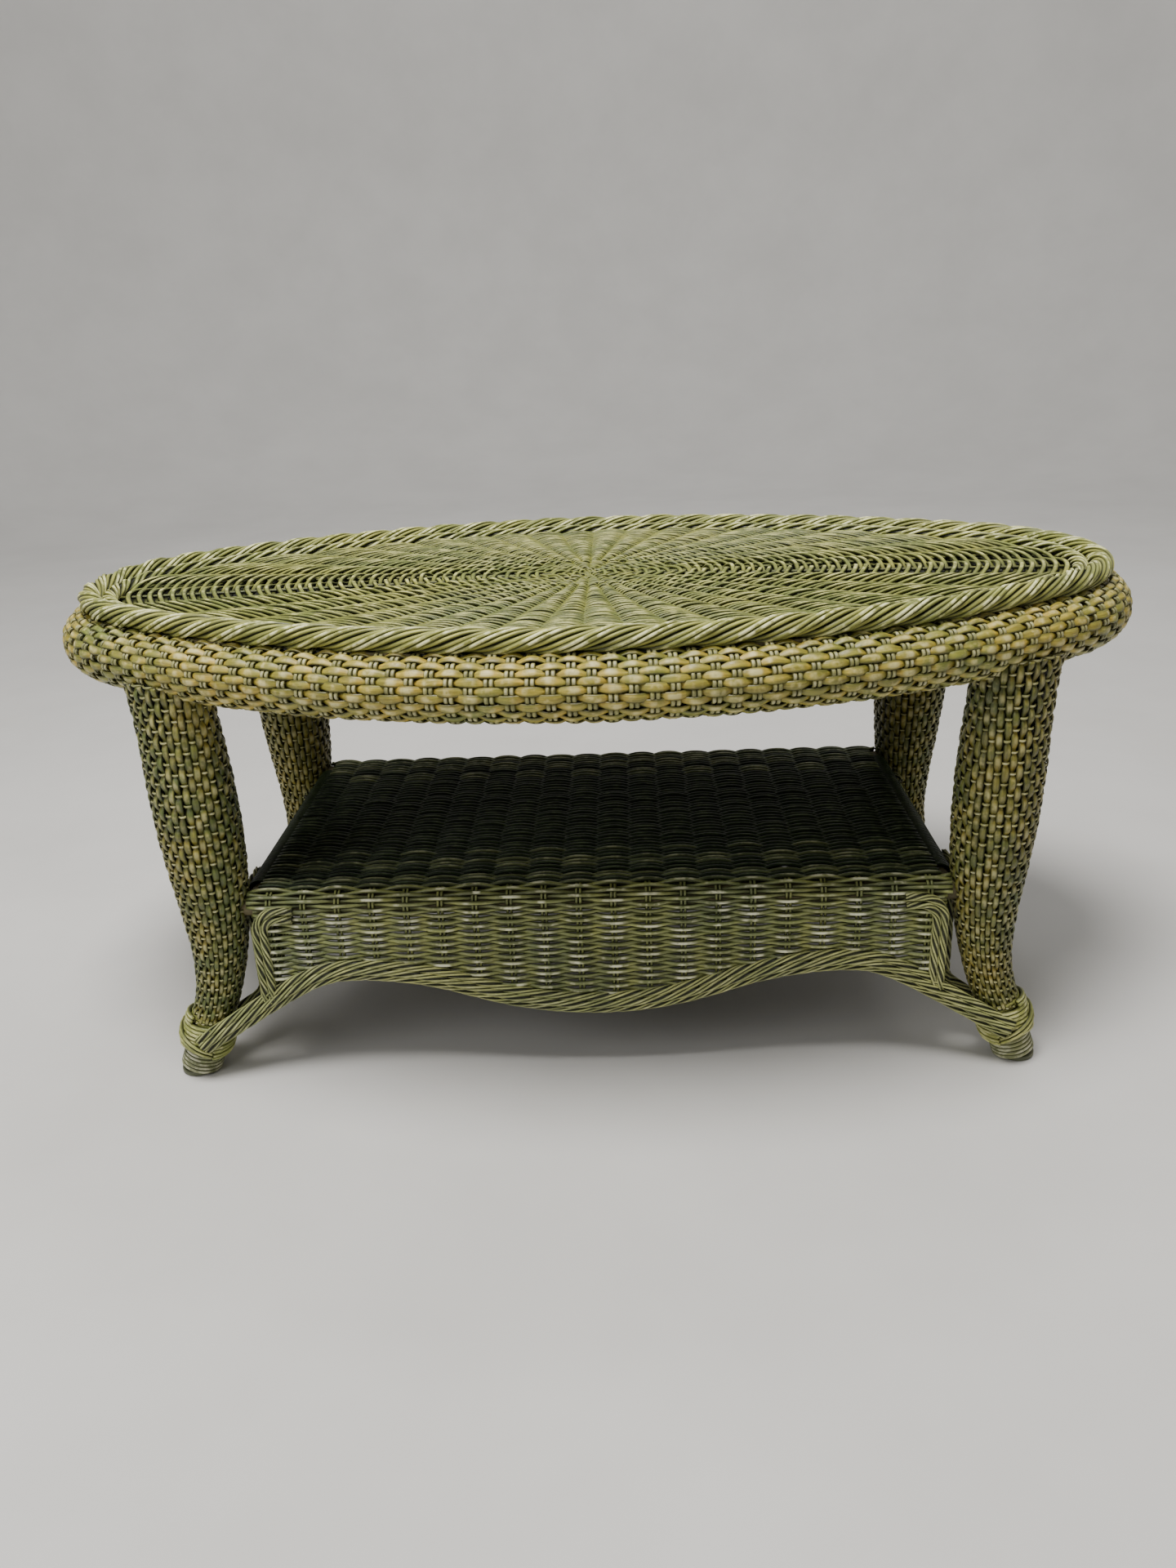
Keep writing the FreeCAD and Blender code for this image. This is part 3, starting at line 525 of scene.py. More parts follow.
# %% The top's weave
panel_low, panel_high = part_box("top_panel")
PANEL_MIDDLE = (panel_low.z + panel_high.z) / 2
PANEL_OFFSET = panel_high.x - HALF_LENGTH
SPOKES = 40
ROWS = 88
TOP_SPLINTS = 88
REED = 0.0016
SWING = (panel_high.z - panel_low.z) / 2 - REED
HUB = 0.006
spoke_angles = (np.arange(SPOKES) + 0.5) * 2 * math.pi / SPOKES
edge_turns = np.linspace(0, 2 * math.pi, 2881)[:-1]
edge_points, _ = oval(edge_turns, PANEL_OFFSET - REED)
edge_angles = np.unwrap(np.arctan2(edge_points[:, 1], edge_points[:, 0]))


def edge_at(angle):
    """The edge of the top in a direction from its middle."""
    turn = np.interp(angle % (2 * math.pi), edge_angles, edge_turns, period=2 * math.pi)
    return oval(turn, PANEL_OFFSET - REED)[0]


def top_rows(name, first, last, replaced):
    bundle = Bundle(name, "top_weave", replaced, -SWING - REED, SWING + REED)
    for row in range(first, last):
        share = HUB + (1 - HUB) * (row + 0.5) / ROWS
        grouped = 4 if share < 0.10 else 2 if share < 0.22 else 1
        waves = SPOKES // grouped
        steps = waves * 6 * min(grouped, 2)
        angle = np.arange(steps) * 2 * math.pi / steps
        phase = angle / (2 * math.pi) * waves - 0.5 + row
        drift = 0.0011 * ripple(angle, RNG.integers(2, 7))
        drift += 0.0007 * ripple(angle, RNG.integers(9, 19))
        lift = 1 + 0.16 * ripple(angle, RNG.integers(3, 11))
        height = over_under(phase) * SWING * lift * (1.0 if grouped == 1 else 0.7)
        edge = edge_at(angle)
        calm = min(1, 2 * (1 - share) * 4)
        path = edge * (share + (drift / np.linalg.norm(edge, axis=1)) * calm)[:, None]
        path = path + UP * (PANEL_MIDDLE + height)[:, None]
        lane = np.linalg.norm(edge, axis=1) / ROWS
        wide = np.clip(lane * 0.49, 0.0012, 0.0026) * RNG.uniform(0.90, 1.05)
        bundle.strand(path, UP, wide, REED * 0.9, height, closed=True, sides=6)
    return bundle.weave()


def top_spokes():
    bundle = Bundle("top_spokes", "top_weave", [], -SWING, SWING + 2 * REED)
    reach = np.linspace(0.02, 1.0, 40)
    for number, angle in enumerate(spoke_angles):
        for side in (-1, 1):
            edge = edge_at(np.array([angle]))[0]
            across = np.array([-edge[1], edge[0], 0]) / np.linalg.norm(edge)
            path = edge[None] * reach[:, None] + UP * PANEL_MIDDLE
            path = path + across * side * 0.0014 * np.minimum(1, reach * 5)[:, None]
            bundle.strand(path, UP, 0.0013, 0.0013, 0.0, sides=6)
    return bundle.weave()


def top_shade_splints():
    """Flat splints under the spokes, side by side, which close the gaps between the rows and are
    painted nearly black as the shade under the top.
    """
    bundle = Bundle("top_shade_splints", "top_weave", [], 0.0, 1.0)
    reach = np.linspace(0.03, 0.995, 12)
    level = panel_low.z + 0.0007
    for angle in (np.arange(TOP_SPLINTS) + 0.25) * 2 * math.pi / TOP_SPLINTS:
        nearby = edge_at(np.array([angle - 0.01, angle, angle + 0.01]))
        across = np.linalg.norm(nearby[2] - nearby[0]) / 0.02
        path = nearby[1][None] * reach[:, None] + UP * level
        width = across * reach * math.pi / TOP_SPLINTS * 1.06
        # height -1.0 lies below the bundle's span of 0 to 1, so the stain paints these splints nearly
        # black: painted shade
        bundle.strand(path, UP, width, 0.0005, -1.0, sides=6)
    return bundle.weave()


top_shade_splints()
top_rows("top_inner_rows", 0, 45, ["top_panel"])
top_rows("top_outer_rows", 45, ROWS, [])
top_spokes()

# %% [markdown]
# A rope is a few plies laid round each other, and here each ply is two or four reeds side by
# side. Twisting real strands in a simulation would be slow. A ply's middle is a helix round the
# rope's line, its reeds keep to the outer face of the ply, and a plain core fills the heart.

# %% Rope
def twist(bundle, path, out, radius, plies, reeds, pitch, closed=False, hand=1):
    """Lay a rope along a path. out is any direction that isn't along it."""
    path = np.asarray(path, float)
    out = np.broadcast_to(np.asarray(out, float), path.shape)
    step = np.roll(path, -1, 0) - path if closed else np.diff(path, axis=0, append=path[-1:])
    run = np.concatenate([[0], np.cumsum(np.linalg.norm(step, axis=1))])
    total, run = run[-1], run[:-1]
    if closed:
        pitch = total / round(total / pitch)
        along = np.roll(path, -1, 0) - np.roll(path, 1, 0)
    else:
        along = np.gradient(path, axis=0)
    along = unit(along)
    side = unit(np.cross(along, out))
    out = np.cross(side, along)
    centre = radius * 0.40
    fan = math.radians(204) / reeds
    lay = (radius - centre) / (1 + math.sin(fan / 2))
    thick = lay * math.sin(fan / 2)
    for ply in range(plies):
        spin = 2 * math.pi * (ply / plies + hand * run / pitch)
        middle = side * np.cos(spin)[:, None] + out * np.sin(spin)[:, None]
        across = np.cross(along, middle)
        for reed in range(reeds):
            lean = fan * (reed - (reeds - 1) / 2)
            slack = 1 + 0.03 * ripple(run, RNG.uniform(30, 70))
            away = middle * (centre + lay * math.cos(lean)) + across * lay * math.sin(lean)
            stands = math.hypot(centre + lay * math.cos(lean), lay * math.sin(lean))
            own = thick * RNG.uniform(0.94, 1.10)
            bundle.strand(path + away * slack[:, None], unit(away), own, own, stands,
                          closed=closed, sides=6)
    # the core lies below the rope's sink level, so the stain paints it nearly black: painted shade
    # between the plies
    core = np.full(len(path), radius * 0.56)
    bundle.strand(path, out, core, core, 0.0, closed=closed, sides=6)


def border_rope(name, node, plies, reeds, pitch, hand):
    low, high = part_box(node)
    radius = (high.z - low.z) / 2
    turns, _ = even_turns(1000)
    path, out = oval(turns, high.x - radius - HALF_LENGTH)
    path = path + UP * (low.z + radius - 0.0008)
    bundle = Bundle(name, "rope", [node], radius * 0.45, radius)
    twist(bundle, path, out, radius * 1.08, plies, reeds, pitch, closed=True, hand=hand)
    return bundle.weave()


def rope_shade_reed():
    """A flat reed between the roll and the rope, which closes the gap under the rope and is painted
    nearly black as the shade there.
    """
    bundle = Bundle("rope_shade_reed", "rope", [], 0.0, 1.0)
    turns, _ = even_turns(240)
    path, out = oval(turns, -0.004)
    path = path + UP * (ROLL_HEIGHT + ROLL_RADIUS - 0.0035)
    # height -1.0 lies below the bundle's span of 0 to 1, so the stain paints this reed nearly black:
    # painted shade
    bundle.strand(path, UP, 0.0065, 0.0034, -1.0, closed=True, sides=8)
    return bundle.weave()


rope_shade_reed()
border_rope("border_rope", "top_rope_outer", 3, 4, 0.125, 1)
border_rope("border_rope_inner", "top_rope_inner", 3, 2, 0.085, 1)

# %% [markdown]
# The legs are wrapped in the same flat cane as the rim, but upright, over thin hoops. The skin
# swells to an oval under the rim and narrows to a round ankle, so a leg is a function of height
# and angle, and the strands are drawn on it. Their width follows the girth, as a weaver's would.

# %% The legs' shape
post_low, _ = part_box("leg_post_rr")
glide_low, glide_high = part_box("foot_glide_rr")
POST_RADIUS = 0.015
LEG_X = post_low.x + POST_RADIUS
LEG_Y = (glide_low.y + glide_high.y) / 2
FOOT_X = (glide_low.x + glide_high.x) / 2
FOOT_TILT = math.radians(20)
LEG_TURN = -math.atan2(LEG_X, LEG_Y + SIDE_CENTRE)
LEG_HEIGHTS = [ROLL_HEIGHT - 0.008, 0.300, 0.205, 0.125, 0.066]
SHIFT_CURVE = np.polyfit(LEG_HEIGHTS, [0.010, 0.0025, -0.0005, 0.0015, 0.0155], 4)
ALONG_CURVE = np.polyfit(LEG_HEIGHTS, [0.048, 0.041, 0.0355, 0.0255, 0.022], 4)
ACROSS_CURVE = np.polyfit(LEG_HEIGHTS, [0.027, 0.035, 0.034, 0.0254, 0.0219], 4)
CORNERS = {"fl": (-1, -1), "fr": (1, -1), "rl": (-1, 1), "rr": (1, 1)}


def leg_point(angle, z, height):
    """A point of the right rear leg's skin and its outward direction."""
    along = np.polyval(ALONG_CURVE, z) - SKIN / 2
    across = np.polyval(ACROSS_CURVE, z) - SKIN / 2
    x, y = (along + height) * np.cos(angle), (across + height) * np.sin(angle)
    nx, ny = np.cos(angle) / along, np.sin(angle) / across
    c, s = math.cos(LEG_TURN), math.sin(LEG_TURN)
    shift = np.polyval(SHIFT_CURVE, z)
    point = np.stack([LEG_X + shift + x * c - y * s, LEG_Y + x * s + y * c, z], -1)
    out = np.stack([nx * c - ny * s, nx * s + ny * c, np.zeros_like(nx)], -1)
    return point, unit(out)


def girth(z):
    a, b = np.polyval(ALONG_CURVE, z), np.polyval(ACROSS_CURVE, z)
    return math.pi * (3 * (a + b) - np.sqrt((3 * a + b) * (a + 3 * b)))


# %% [markdown]
# Each leg gets an even number of upright strands, so that every other one is over when its
# neighbours are under. The hoops could be one long spiral, but closed rings keep the pattern in
# step, and splints inside them, painted nearly black as shade, stop the light that would come through
# the gaps.

# %% The legs' weave
LEG_STRANDS = 36
LEG_SPLINTS = 14
HOOP_PITCH = 0.0094
LEG_SWING = SKIN / 2 - 0.0010
LEG_BOTTOM = 0.060
LEG_TOP = ROLL_HEIGHT - 0.010
HOOPS = int((LEG_TOP - LEG_BOTTOM) / HOOP_PITCH)


def leg(corner):
    mirror = np.array([*CORNERS[corner], 1.0])
    bundle = Bundle("leg_" + corner, "leg_weave", ["leg_cover_" + corner], -SKIN / 2, SKIN / 2)
    steps = np.linspace(0, HOOPS, HOOPS * 5 + 1)
    z = LEG_BOTTOM + steps * HOOP_PITCH
    for number in range(LEG_STRANDS):
        angle = 2 * math.pi * number / LEG_STRANDS
        wobble = 0.02 * ripple(z, RNG.uniform(20, 60))
        swell = LEG_SWING * (1 + 0.12 * ripple(z, RNG.uniform(90, 160)))
        drift = 0.16 * ripple(z, RNG.uniform(25, 60))
        height = long_over(steps + number + drift) * swell
        path, out = leg_point(angle + wobble, z, height)
        lane = girth(z) / LEG_STRANDS / 2
        width = lane * (0.84 + 0.22 * (0.5 + 0.5 * long_over(steps + number + drift)))
        bundle.strand(path * mirror, out * mirror, width, 0.0010, height, sides=6)
    return bundle.weave()


def leg_hoops(corner):
    """The thin hoops that the strands are woven on."""
    mirror = np.array([*CORNERS[corner], 1.0])
    bundle = Bundle("leg_hoops_" + corner, "leg_weave", [], -SKIN / 2, SKIN / 2, "pale_cane")
    ticks = np.arange(LEG_STRANDS * 4)
    for hoop in range(HOOPS + 1):
        angle = ticks * 2 * math.pi / len(ticks)
        height = -over_under(ticks / 4 + hoop) * LEG_SWING * 0.95
        level = np.full_like(angle, LEG_BOTTOM + hoop * HOOP_PITCH)
        path, out = leg_point(angle, level, height)
        bundle.strand(path * mirror, out * mirror, 0.0012, 0.0009, height, closed=True, sides=4)
    return bundle.weave()


def leg_shade_splints(corner):
    """Flat splints inside the hoops, so that no light comes through the leg, painted nearly black as
    the shade inside it.
    """
    mirror = np.array([*CORNERS[corner], 1.0])
    bundle = Bundle("leg_shade_splints_" + corner, "leg_weave", [], 0.0, 1.0)
    z = np.linspace(LEG_BOTTOM, LEG_TOP, 24)
    for number in range(LEG_SPLINTS):
        angle = 2 * math.pi * number / LEG_SPLINTS + 0 * z
        path, out = leg_point(angle, z, -SKIN / 2 - 0.0010)
        width = girth(z) / (2 * LEG_SPLINTS) * 1.08
        # height -1.0 lies below the bundle's span of 0 to 1, so the stain paints these splints nearly
        # black: painted shade
        bundle.strand(path * mirror, out * mirror, width, 0.0006, -1.0, sides=6)
    return bundle.weave()


for corner in CORNERS:
    leg(corner)
    leg_hoops(corner)
    leg_shade_splints(corner)

# %% [markdown]
# Below the skin, the apron's rope is wound round the ankle, and a plain reed is wound round the
# foot down to the glide. Both are helices round the foot's tilted line. The rope's winding has two
# layers that cross, which hides where it starts.

# %% Ankles and feet
FOOT_LINE = unit(np.array([-math.tan(FOOT_TILT), 0.0, 1.0]))
FOOT_BASE = np.array([FOOT_X, LEG_Y, 0.0])
FOOT_SIDE = np.array([0.0, 1.0, 0.0])
FOOT_FRONT = np.cross(FOOT_SIDE, FOOT_LINE)
_, GLIDE_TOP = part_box("foot_glide_rr")
ANKLE_LOW, ANKLE_TOP = 0.026, 0.064


def coil(bundle, mirror, low, high, radius, turns, reed, start=0.0, level=0.0, hand=1):
    """Wind a reed round the right rear foot between two heights."""
    spin = np.linspace(0, 2 * math.pi * turns, max(12, int(turns * 26)))
    share = np.linspace(0, 1, len(spin))
    climb = (low + (high - low) * share) / FOOT_LINE[2]
    facing = (hand * spin + start)[:, None]
    away = FOOT_FRONT * np.cos(facing) + FOOT_SIDE * np.sin(facing)
    path = FOOT_BASE + FOOT_LINE * climb[:, None] + away * np.asarray(radius)
    bundle.strand(path * mirror, away * mirror, reed, reed, level, sides=6)


def ankle(corner):
    mirror = np.array([*CORNERS[corner], 1.0])
    bundle = Bundle("ankle_" + corner, "rope", ["ankle_braid_" + corner], -0.0022, 0.0022)
    coil(bundle, mirror, ANKLE_LOW, ANKLE_TOP, 0.0185, 9, 0.0024, level=-0.001)
    for ply in range(3):
        base = 2 * math.pi * ply / 3
        for reed in (-1, 0, 1):
            lift = 0.0235 + (0.0006 if reed == 0 else 0.0)
            shift = reed * 0.0036
            coil(bundle, mirror, ANKLE_LOW + 0.004 + shift, ANKLE_TOP - 0.006 + shift,
                 lift, 1.15, 0.0020, start=base)
    for reed in (-1, 1):
        shift = reed * 0.002
        coil(bundle, mirror, ANKLE_LOW + 0.006 + shift, ANKLE_TOP - 0.008 + shift,
             0.0268, 0.75, 0.0018, start=2.0, hand=-1)
    return bundle.weave()


def foot(corner):
    mirror = np.array([*CORNERS[corner], 1.0])
    bundle = Bundle("foot_" + corner, "foot_reed", ["foot_wrap_" + corner], -0.0024, 0.0024)
    coil(bundle, mirror, GLIDE_TOP.z + 0.0012, ANKLE_LOW + 0.004, POST_RADIUS + 0.0024, 6, 0.0023)
    return bundle.weave()


for corner in CORNERS:
    ankle(corner)
    foot(corner)

# %% [markdown]
# Shelf and aprons are one sheet of round reed over upright pairs of thin stakes. The reeds lie
# flat across the shelf, open out over the bend, and carry on down the apron. Each row stops where
# the scalloped edge cuts it, and the rope covers the ends.

# %% The apron's edge
def box_middle(node):
    low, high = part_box(node)
    return [(low[axis] + high[axis]) / 2 for axis in range(3)]


_, shelf_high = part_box("shelf_panel")
APRON_Y = -box_middle("apron_front")[1]
APRON_X = box_middle("apron_right")[0]
SHELF_MIDDLE = shelf_high.z - SKIN / 2
RAIL_HEIGHT = box_middle("shelf_rail_front")[2]
END_ROPE_X = box_middle("end_rope_front_right")[0]
END_ROPE_Y = box_middle("end_rope_right_rear")[1]
SIDE_RAIL_X = box_middle("shelf_rail_right")[0]
DIP, PEAK = 0.073, 0.113
PEAK_X = LEG_X - 0.122
HAUNCH = math.radians(31)


def haunch(along, peak, radius):
    """The rope's height beyond the top of an arch: an arc, then a straight slope."""
    past = np.maximum(np.abs(along) - peak, 0)
    bend = radius * math.sin(HAUNCH)
    arc = PEAK - radius + np.sqrt(radius ** 2 - np.minimum(past, bend) ** 2)
    return arc - np.maximum(past - bend, 0) * math.tan(HAUNCH)


def front_edge(x):
    rise = PEAK - DIP
    radius = (PEAK_X ** 2 + rise ** 2) / (4 * rise)
    inner = np.minimum(np.abs(x), PEAK_X)
    dip = DIP + radius - np.sqrt(radius ** 2 - np.minimum(inner, PEAK_X / 2) ** 2)
    climb = PEAK - radius + np.sqrt(radius ** 2 - (PEAK_X - np.maximum(inner, PEAK_X / 2)) ** 2)
    middle = np.where(inner < PEAK_X / 2, dip, climb)
    return np.where(np.abs(x) > PEAK_X, haunch(x, PEAK_X, 0.090), middle)


def side_edge(y):
    return haunch(y, 0.0, 0.150)


# %% [markdown]
# The shelf's reeds run the long way, and each is one rod that bends over and under the stakes. The
# rows lie so close that the shelf's own stakes are left out. Over the two ends, finer strands wind
# down round the side rails. The shelf is painted almost black as the shade of the top above it, and
# more rows get a lighter olive, lit mix the nearer they lie to a long edge.

# %% The shelf's weave
STAKES = 20
STAKE_PITCH = 2 * SIDE_RAIL_X / STAKES
ROW_PITCH = 0.0036
SHEET_REED = 0.0021
SHEET_SWING = 0.0025
SHEET_FACE = SHEET_REED + SHEET_SWING
BEND = SHELF_MIDDLE - RAIL_HEIGHT


def along_x(y, z):
    return lambda u: np.stack([u, np.full_like(u, y), np.full_like(u, z)], -1)


def along_y(x, z):
    return lambda u: np.stack([np.full_like(u, x), u, np.full_like(u, z)], -1)


def sheet_rod(bundle, place, out, start, end, pitch, parity, bow=0.0):
    """One reed of a sheet, from start to end, over and under the stakes."""
    count = max(6, int((end - start) / pitch * 7))
    u = np.linspace(start, end, count)
    phase = u / pitch + 0.5 + parity
    height = over_under(phase) * SHEET_SWING * (1 + 0.15 * ripple(u, RNG.uniform(30, 60)))
    points = place(u) + out * height[:, None]
    wave = over_under(phase)
    sag = bow * np.maximum(wave, 0) + 2 * bow * np.maximum(-wave, 0)
    points = points + UP * (RNG.normal(0, 0.00025) - sag[:, None])
    thick = SHEET_REED * RNG.uniform(0.9, 1.06)
    bundle.strand(points, out, thick, thick * 0.9, height, sides=6)


def shelf():
    """The shelf: black green inside as painted shade under the top, and more and more olive rows,
    painted lit, towards both long edges.
    """
    shaded_rows = Bundle("shelf_weave", "shelf_weave", ["shelf_panel"], -SHEET_FACE, SHEET_FACE)
    paler = Bundle("shelf_lit_rows", "shelf_weave", [], -SHEET_FACE, SHEET_FACE, "shelf_edge")
    rows = int(2 * LEG_Y / ROW_PITCH) + 1
    half = SIDE_RAIL_X - 0.004
    for row in range(rows):
        y = (row - (rows - 1) / 2) * ROW_PITCH
        # painted light: rows nearer a long edge more often get the lighter, lit mix; the rest keep
        # the painted shade
        near_edge = (abs(y) - LEG_Y + 0.075) / 0.075
        bundle = paler if RNG.random() < near_edge else shaded_rows
        sheet_rod(bundle, along_x(y, SHELF_MIDDLE), UP, -half, half, STAKE_PITCH, row)
    shaded_rows.weave()
    paler.weave()


def side_rolls():
    """Fine strands wound over the side rails, from the shelf down to the side aprons."""
    bundle = Bundle("side_rolls", "shelf_weave", [], -0.002, 0.002)
    turn = np.linspace(-0.35, math.pi / 2 + 0.15, 14)
    for side in (-1, 1):
        for y in np.arange(-LEG_Y + 0.022, LEG_Y - 0.021, 0.0023):
            x = side * (SIDE_RAIL_X + BEND * np.sin(turn))
            z = RAIL_HEIGHT + BEND * np.cos(turn)
            wave = 0.0004 * math.sin(y * 900)
            path = np.stack([x + side * wave, np.full_like(x, y), z], -1)
            out = np.stack([side * np.sin(turn), np.zeros_like(turn), np.cos(turn)], -1)
            bundle.strand(path, out, 0.00125, 0.0013, wave, sides=6)
    return bundle.weave()


shelf()
side_rolls()

# %% [markdown]
# Below the rails the same rows go on as aprons, cut off along the scallop. A sheet could be cut
# with a boolean, but that leaves sliced tubes, so each row is laid only where it clears the edge,
# and the stakes stop on the edge too. Rows dip a little wherever they pass a stake, and a little
# more where they go under it, so that they don't look ruled.

# %% The aprons' weave
STAKE_REED = 0.0014
STAKE_SPREAD = 0.0017
STAKE_LEVEL = 0.0006
BOW = 0.0009
SHORTEST_RUN = 0.012
APRON_BOTTOM = 0.050
FRONT_DROP = 0.0006
SIDE_DROP = 0.003


def clear_runs(along, clear):
    """Where a row isn't cut away: pairs of start and end."""
    runs, start = [], None
    for place, good in zip(along, clear):
        if good and start is None:
            start = place
        if not good and start is not None:
            runs.append((start, place))
            start = None
    if start is not None:
        runs.append((start, along[-1]))
    return [run for run in runs if run[1] - run[0] > SHORTEST_RUN]


def front_sheet(side, name):
    """The front or rear apron, with the open rows over the shelf's bend."""
    bundle = Bundle("apron_weave_" + name, "apron_weave", ["apron_" + name], -SHEET_FACE, SHEET_FACE)
    half = END_ROPE_X + 0.004
    for row, turn in enumerate(np.radians([9, 26, 43, 60, 77])):
        y = side * (LEG_Y + BEND * math.sin(turn))
        z = RAIL_HEIGHT + BEND * math.cos(turn)
        out = np.array([0.0, side * math.sin(turn), math.cos(turn)])
        sheet_rod(bundle, along_x(y, z), out, -SIDE_RAIL_X - 0.004, SIDE_RAIL_X + 0.004,
                  STAKE_PITCH, row + 1)
    rows = int((RAIL_HEIGHT - APRON_BOTTOM) / ROW_PITCH)
    along = np.linspace(-half, half, 600)
    out = np.array([0.0, side, 0.0])
    for row in range(rows):
        z = RAIL_HEIGHT - FRONT_DROP - row * ROW_PITCH
        for start, end in clear_runs(along, front_edge(along) < z - 0.001):
            sheet_rod(bundle, along_x(side * APRON_Y, z), out, start, end, STAKE_PITCH, row, BOW)
    for stake in range(STAKES):
        middle = (stake - (STAKES - 1) / 2) * STAKE_PITCH
        for beside in (-1, 1):
            x = middle + beside * STAKE_SPREAD
            turn = np.linspace(-0.1, math.pi / 2, 9)
            over = np.stack([np.full_like(turn, x), side * (LEG_Y + BEND * np.sin(turn)),
                             RAIL_HEIGHT + BEND * np.cos(turn)], -1)
            drop = np.linspace(RAIL_HEIGHT, float(front_edge(np.array([x]))[0]), 12)[1:]
            down = np.stack([np.full_like(drop, x), np.full_like(drop, side * APRON_Y), drop], -1)
            path = np.concatenate([over, down])
            out = np.concatenate([np.stack([0 * turn, side * np.sin(turn), np.cos(turn)], -1),
                                  np.tile([0.0, side, 0.0], (len(drop), 1))])
            bundle.strand(path, out, STAKE_REED, STAKE_REED, STAKE_LEVEL, sides=6)
    return bundle.weave()


def side_sheet(side, name):
    """The apron at one end of the table."""
    bundle = Bundle("apron_weave_" + name, "apron_weave", ["apron_" + name], -SHEET_FACE, SHEET_FACE)
    half = END_ROPE_Y + 0.004
    stakes = 8
    pitch = 2 * half / stakes
    along = np.linspace(-half, half, 400)
    out = np.array([side, 0.0, 0.0])
    for row in range(int((RAIL_HEIGHT - APRON_BOTTOM) / ROW_PITCH)):
        z = RAIL_HEIGHT - SIDE_DROP - row * ROW_PITCH
        for start, end in clear_runs(along, side_edge(along) < z - 0.001):
            sheet_rod(bundle, along_y(side * APRON_X, z), out, start, end, pitch, row, BOW)
    for stake in range(stakes):
        for beside in (-1, 1):
            y = (stake - (stakes - 1) / 2) * pitch + beside * STAKE_SPREAD
            drop = np.linspace(RAIL_HEIGHT + 0.004, float(side_edge(np.array([y]))[0]), 12)
            path = np.stack([np.full_like(drop, side * APRON_X), np.full_like(drop, y), drop], -1)
            bundle.strand(path, out, STAKE_REED, STAKE_REED, STAKE_LEVEL, sides=6)
    return bundle.weave()


front_sheet(-1, "front")
front_sheet(1, "rear")
side_sheet(-1, "left")
side_sheet(1, "right")

# %% [markdown]
# Three thin cords side by side, with a fourth behind them, finish each apron: along the scallop,
# then down into the ankle at both ends. Their line is the same formula as the cut edge, rounded
# where it leaves the apron, so rope and edge agree. One thick rope would look too smooth here.

# %% Edge ropes
CORD = 0.0047
KNOT_HEIGHT = 0.040


def rounded(points, passes):
    """Soften a line's corners, keeping its ends."""
    for _ in range(passes):
        points[1:-1] = (points[:-2] + 2 * points[1:-1] + points[2:]) / 4
    return points


def knot(corner_x, corner_y, shift):
    """Where an edge rope goes in under the ankle's winding."""
    foot_x = FOOT_X - KNOT_HEIGHT * math.tan(FOOT_TILT)
    return np.array([corner_x * (foot_x + shift[0]), corner_y * (LEG_Y + shift[1]), KNOT_HEIGHT])


def edge_rope(name, edge, place, reach, knots):
    bundle = Bundle("edge_rope_" + name + "_reeds", "rope", ["edge_rope_" + name],
                    CORD * 0.45, CORD, "edge_rope")
    along = np.linspace(-reach, reach, int(reach * 2 / 0.0040))
    line = place(along, edge(along))
    first = knots[0] + (line[0] - knots[0]) * np.linspace(0, 1, 24)[:-1, None]
    last = line[-1] + (knots[1] - line[-1]) * np.linspace(0, 1, 24)[1:, None]
    path = rounded(np.concatenate([first, line, last]), 14)
    along = unit(np.gradient(path, axis=0))
    out = unit(np.cross(along, UP))
    facing = np.sign(out[len(path) // 2] @ path[len(path) // 2])
    rise = np.cross(along, out)
    for across, outward in ((-0.0063, 0.0034), (0.0, 0.0056), (0.0063, 0.0034), (0.0, -0.0048)):
        twist(bundle, path + rise * across + out * facing * outward, out, CORD, 3, 2, 0.078)
    return bundle.weave()


def front_place(side):
    return lambda u, z: np.stack([u, np.full_like(u, side * APRON_Y), z], -1)


def side_place(side):
    return lambda u, z: np.stack([np.full_like(u, side * APRON_X), u, z], -1)


OUTER_KNOT = (0.0, POST_RADIUS + 0.00625)
INNER_KNOT = (-POST_RADIUS, -POST_RADIUS)
for side, name in ((-1, "front"), (1, "rear")):
    edge_rope(name, front_edge, front_place(side), END_ROPE_X + 0.006,
              [knot(-1, side, OUTER_KNOT), knot(1, side, OUTER_KNOT)])
for side, name in ((-1, "left"), (1, "right")):
    edge_rope(name, side_edge, side_place(side), END_ROPE_Y + 0.006,
              [knot(side, -1, INNER_KNOT), knot(side, 1, INNER_KNOT)])

# %% [markdown]
# Where an apron meets a leg, its last reeds bend over and run down beside it as two thin cords,
# one inside the other. They hide the cut ends of the rows.

# %% Upright ropes
UPRIGHT_CORD = 0.0046


def upright(name, out):
    low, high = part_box(name)
    out = np.array(out)
    middle = np.array([(low.x + high.x) / 2, (low.y + high.y) / 2, 0.0])
    inward = -np.sign(middle) * (1 - np.abs(out))
    bundle = Bundle(name + "_reeds", "rope", [name], 0.0018, UPRIGHT_CORD, "edge_rope")
    for cord, bend in enumerate((0.022, 0.014)):
        shift = cord * 0.0068 - 0.0024
        top = RAIL_HEIGHT + 0.001 - cord * 0.0080
        turn = np.linspace(0, math.pi / 2, 9)
        sideways = np.concatenate([[bend + 0.014, bend + 0.007], bend - bend * np.sin(turn),
                                   np.zeros(20)]) + shift
        level = np.concatenate([[top, top], top - bend + bend * np.cos(turn),
                                np.linspace(top - bend, low.z - 0.004, 21)[1:]])
        path = middle + inward * sideways[:, None] + UP * level[:, None] + out * 0.0012
        twist(bundle, path, out, UPRIGHT_CORD, 3, 2, 0.060)
    return bundle.weave()


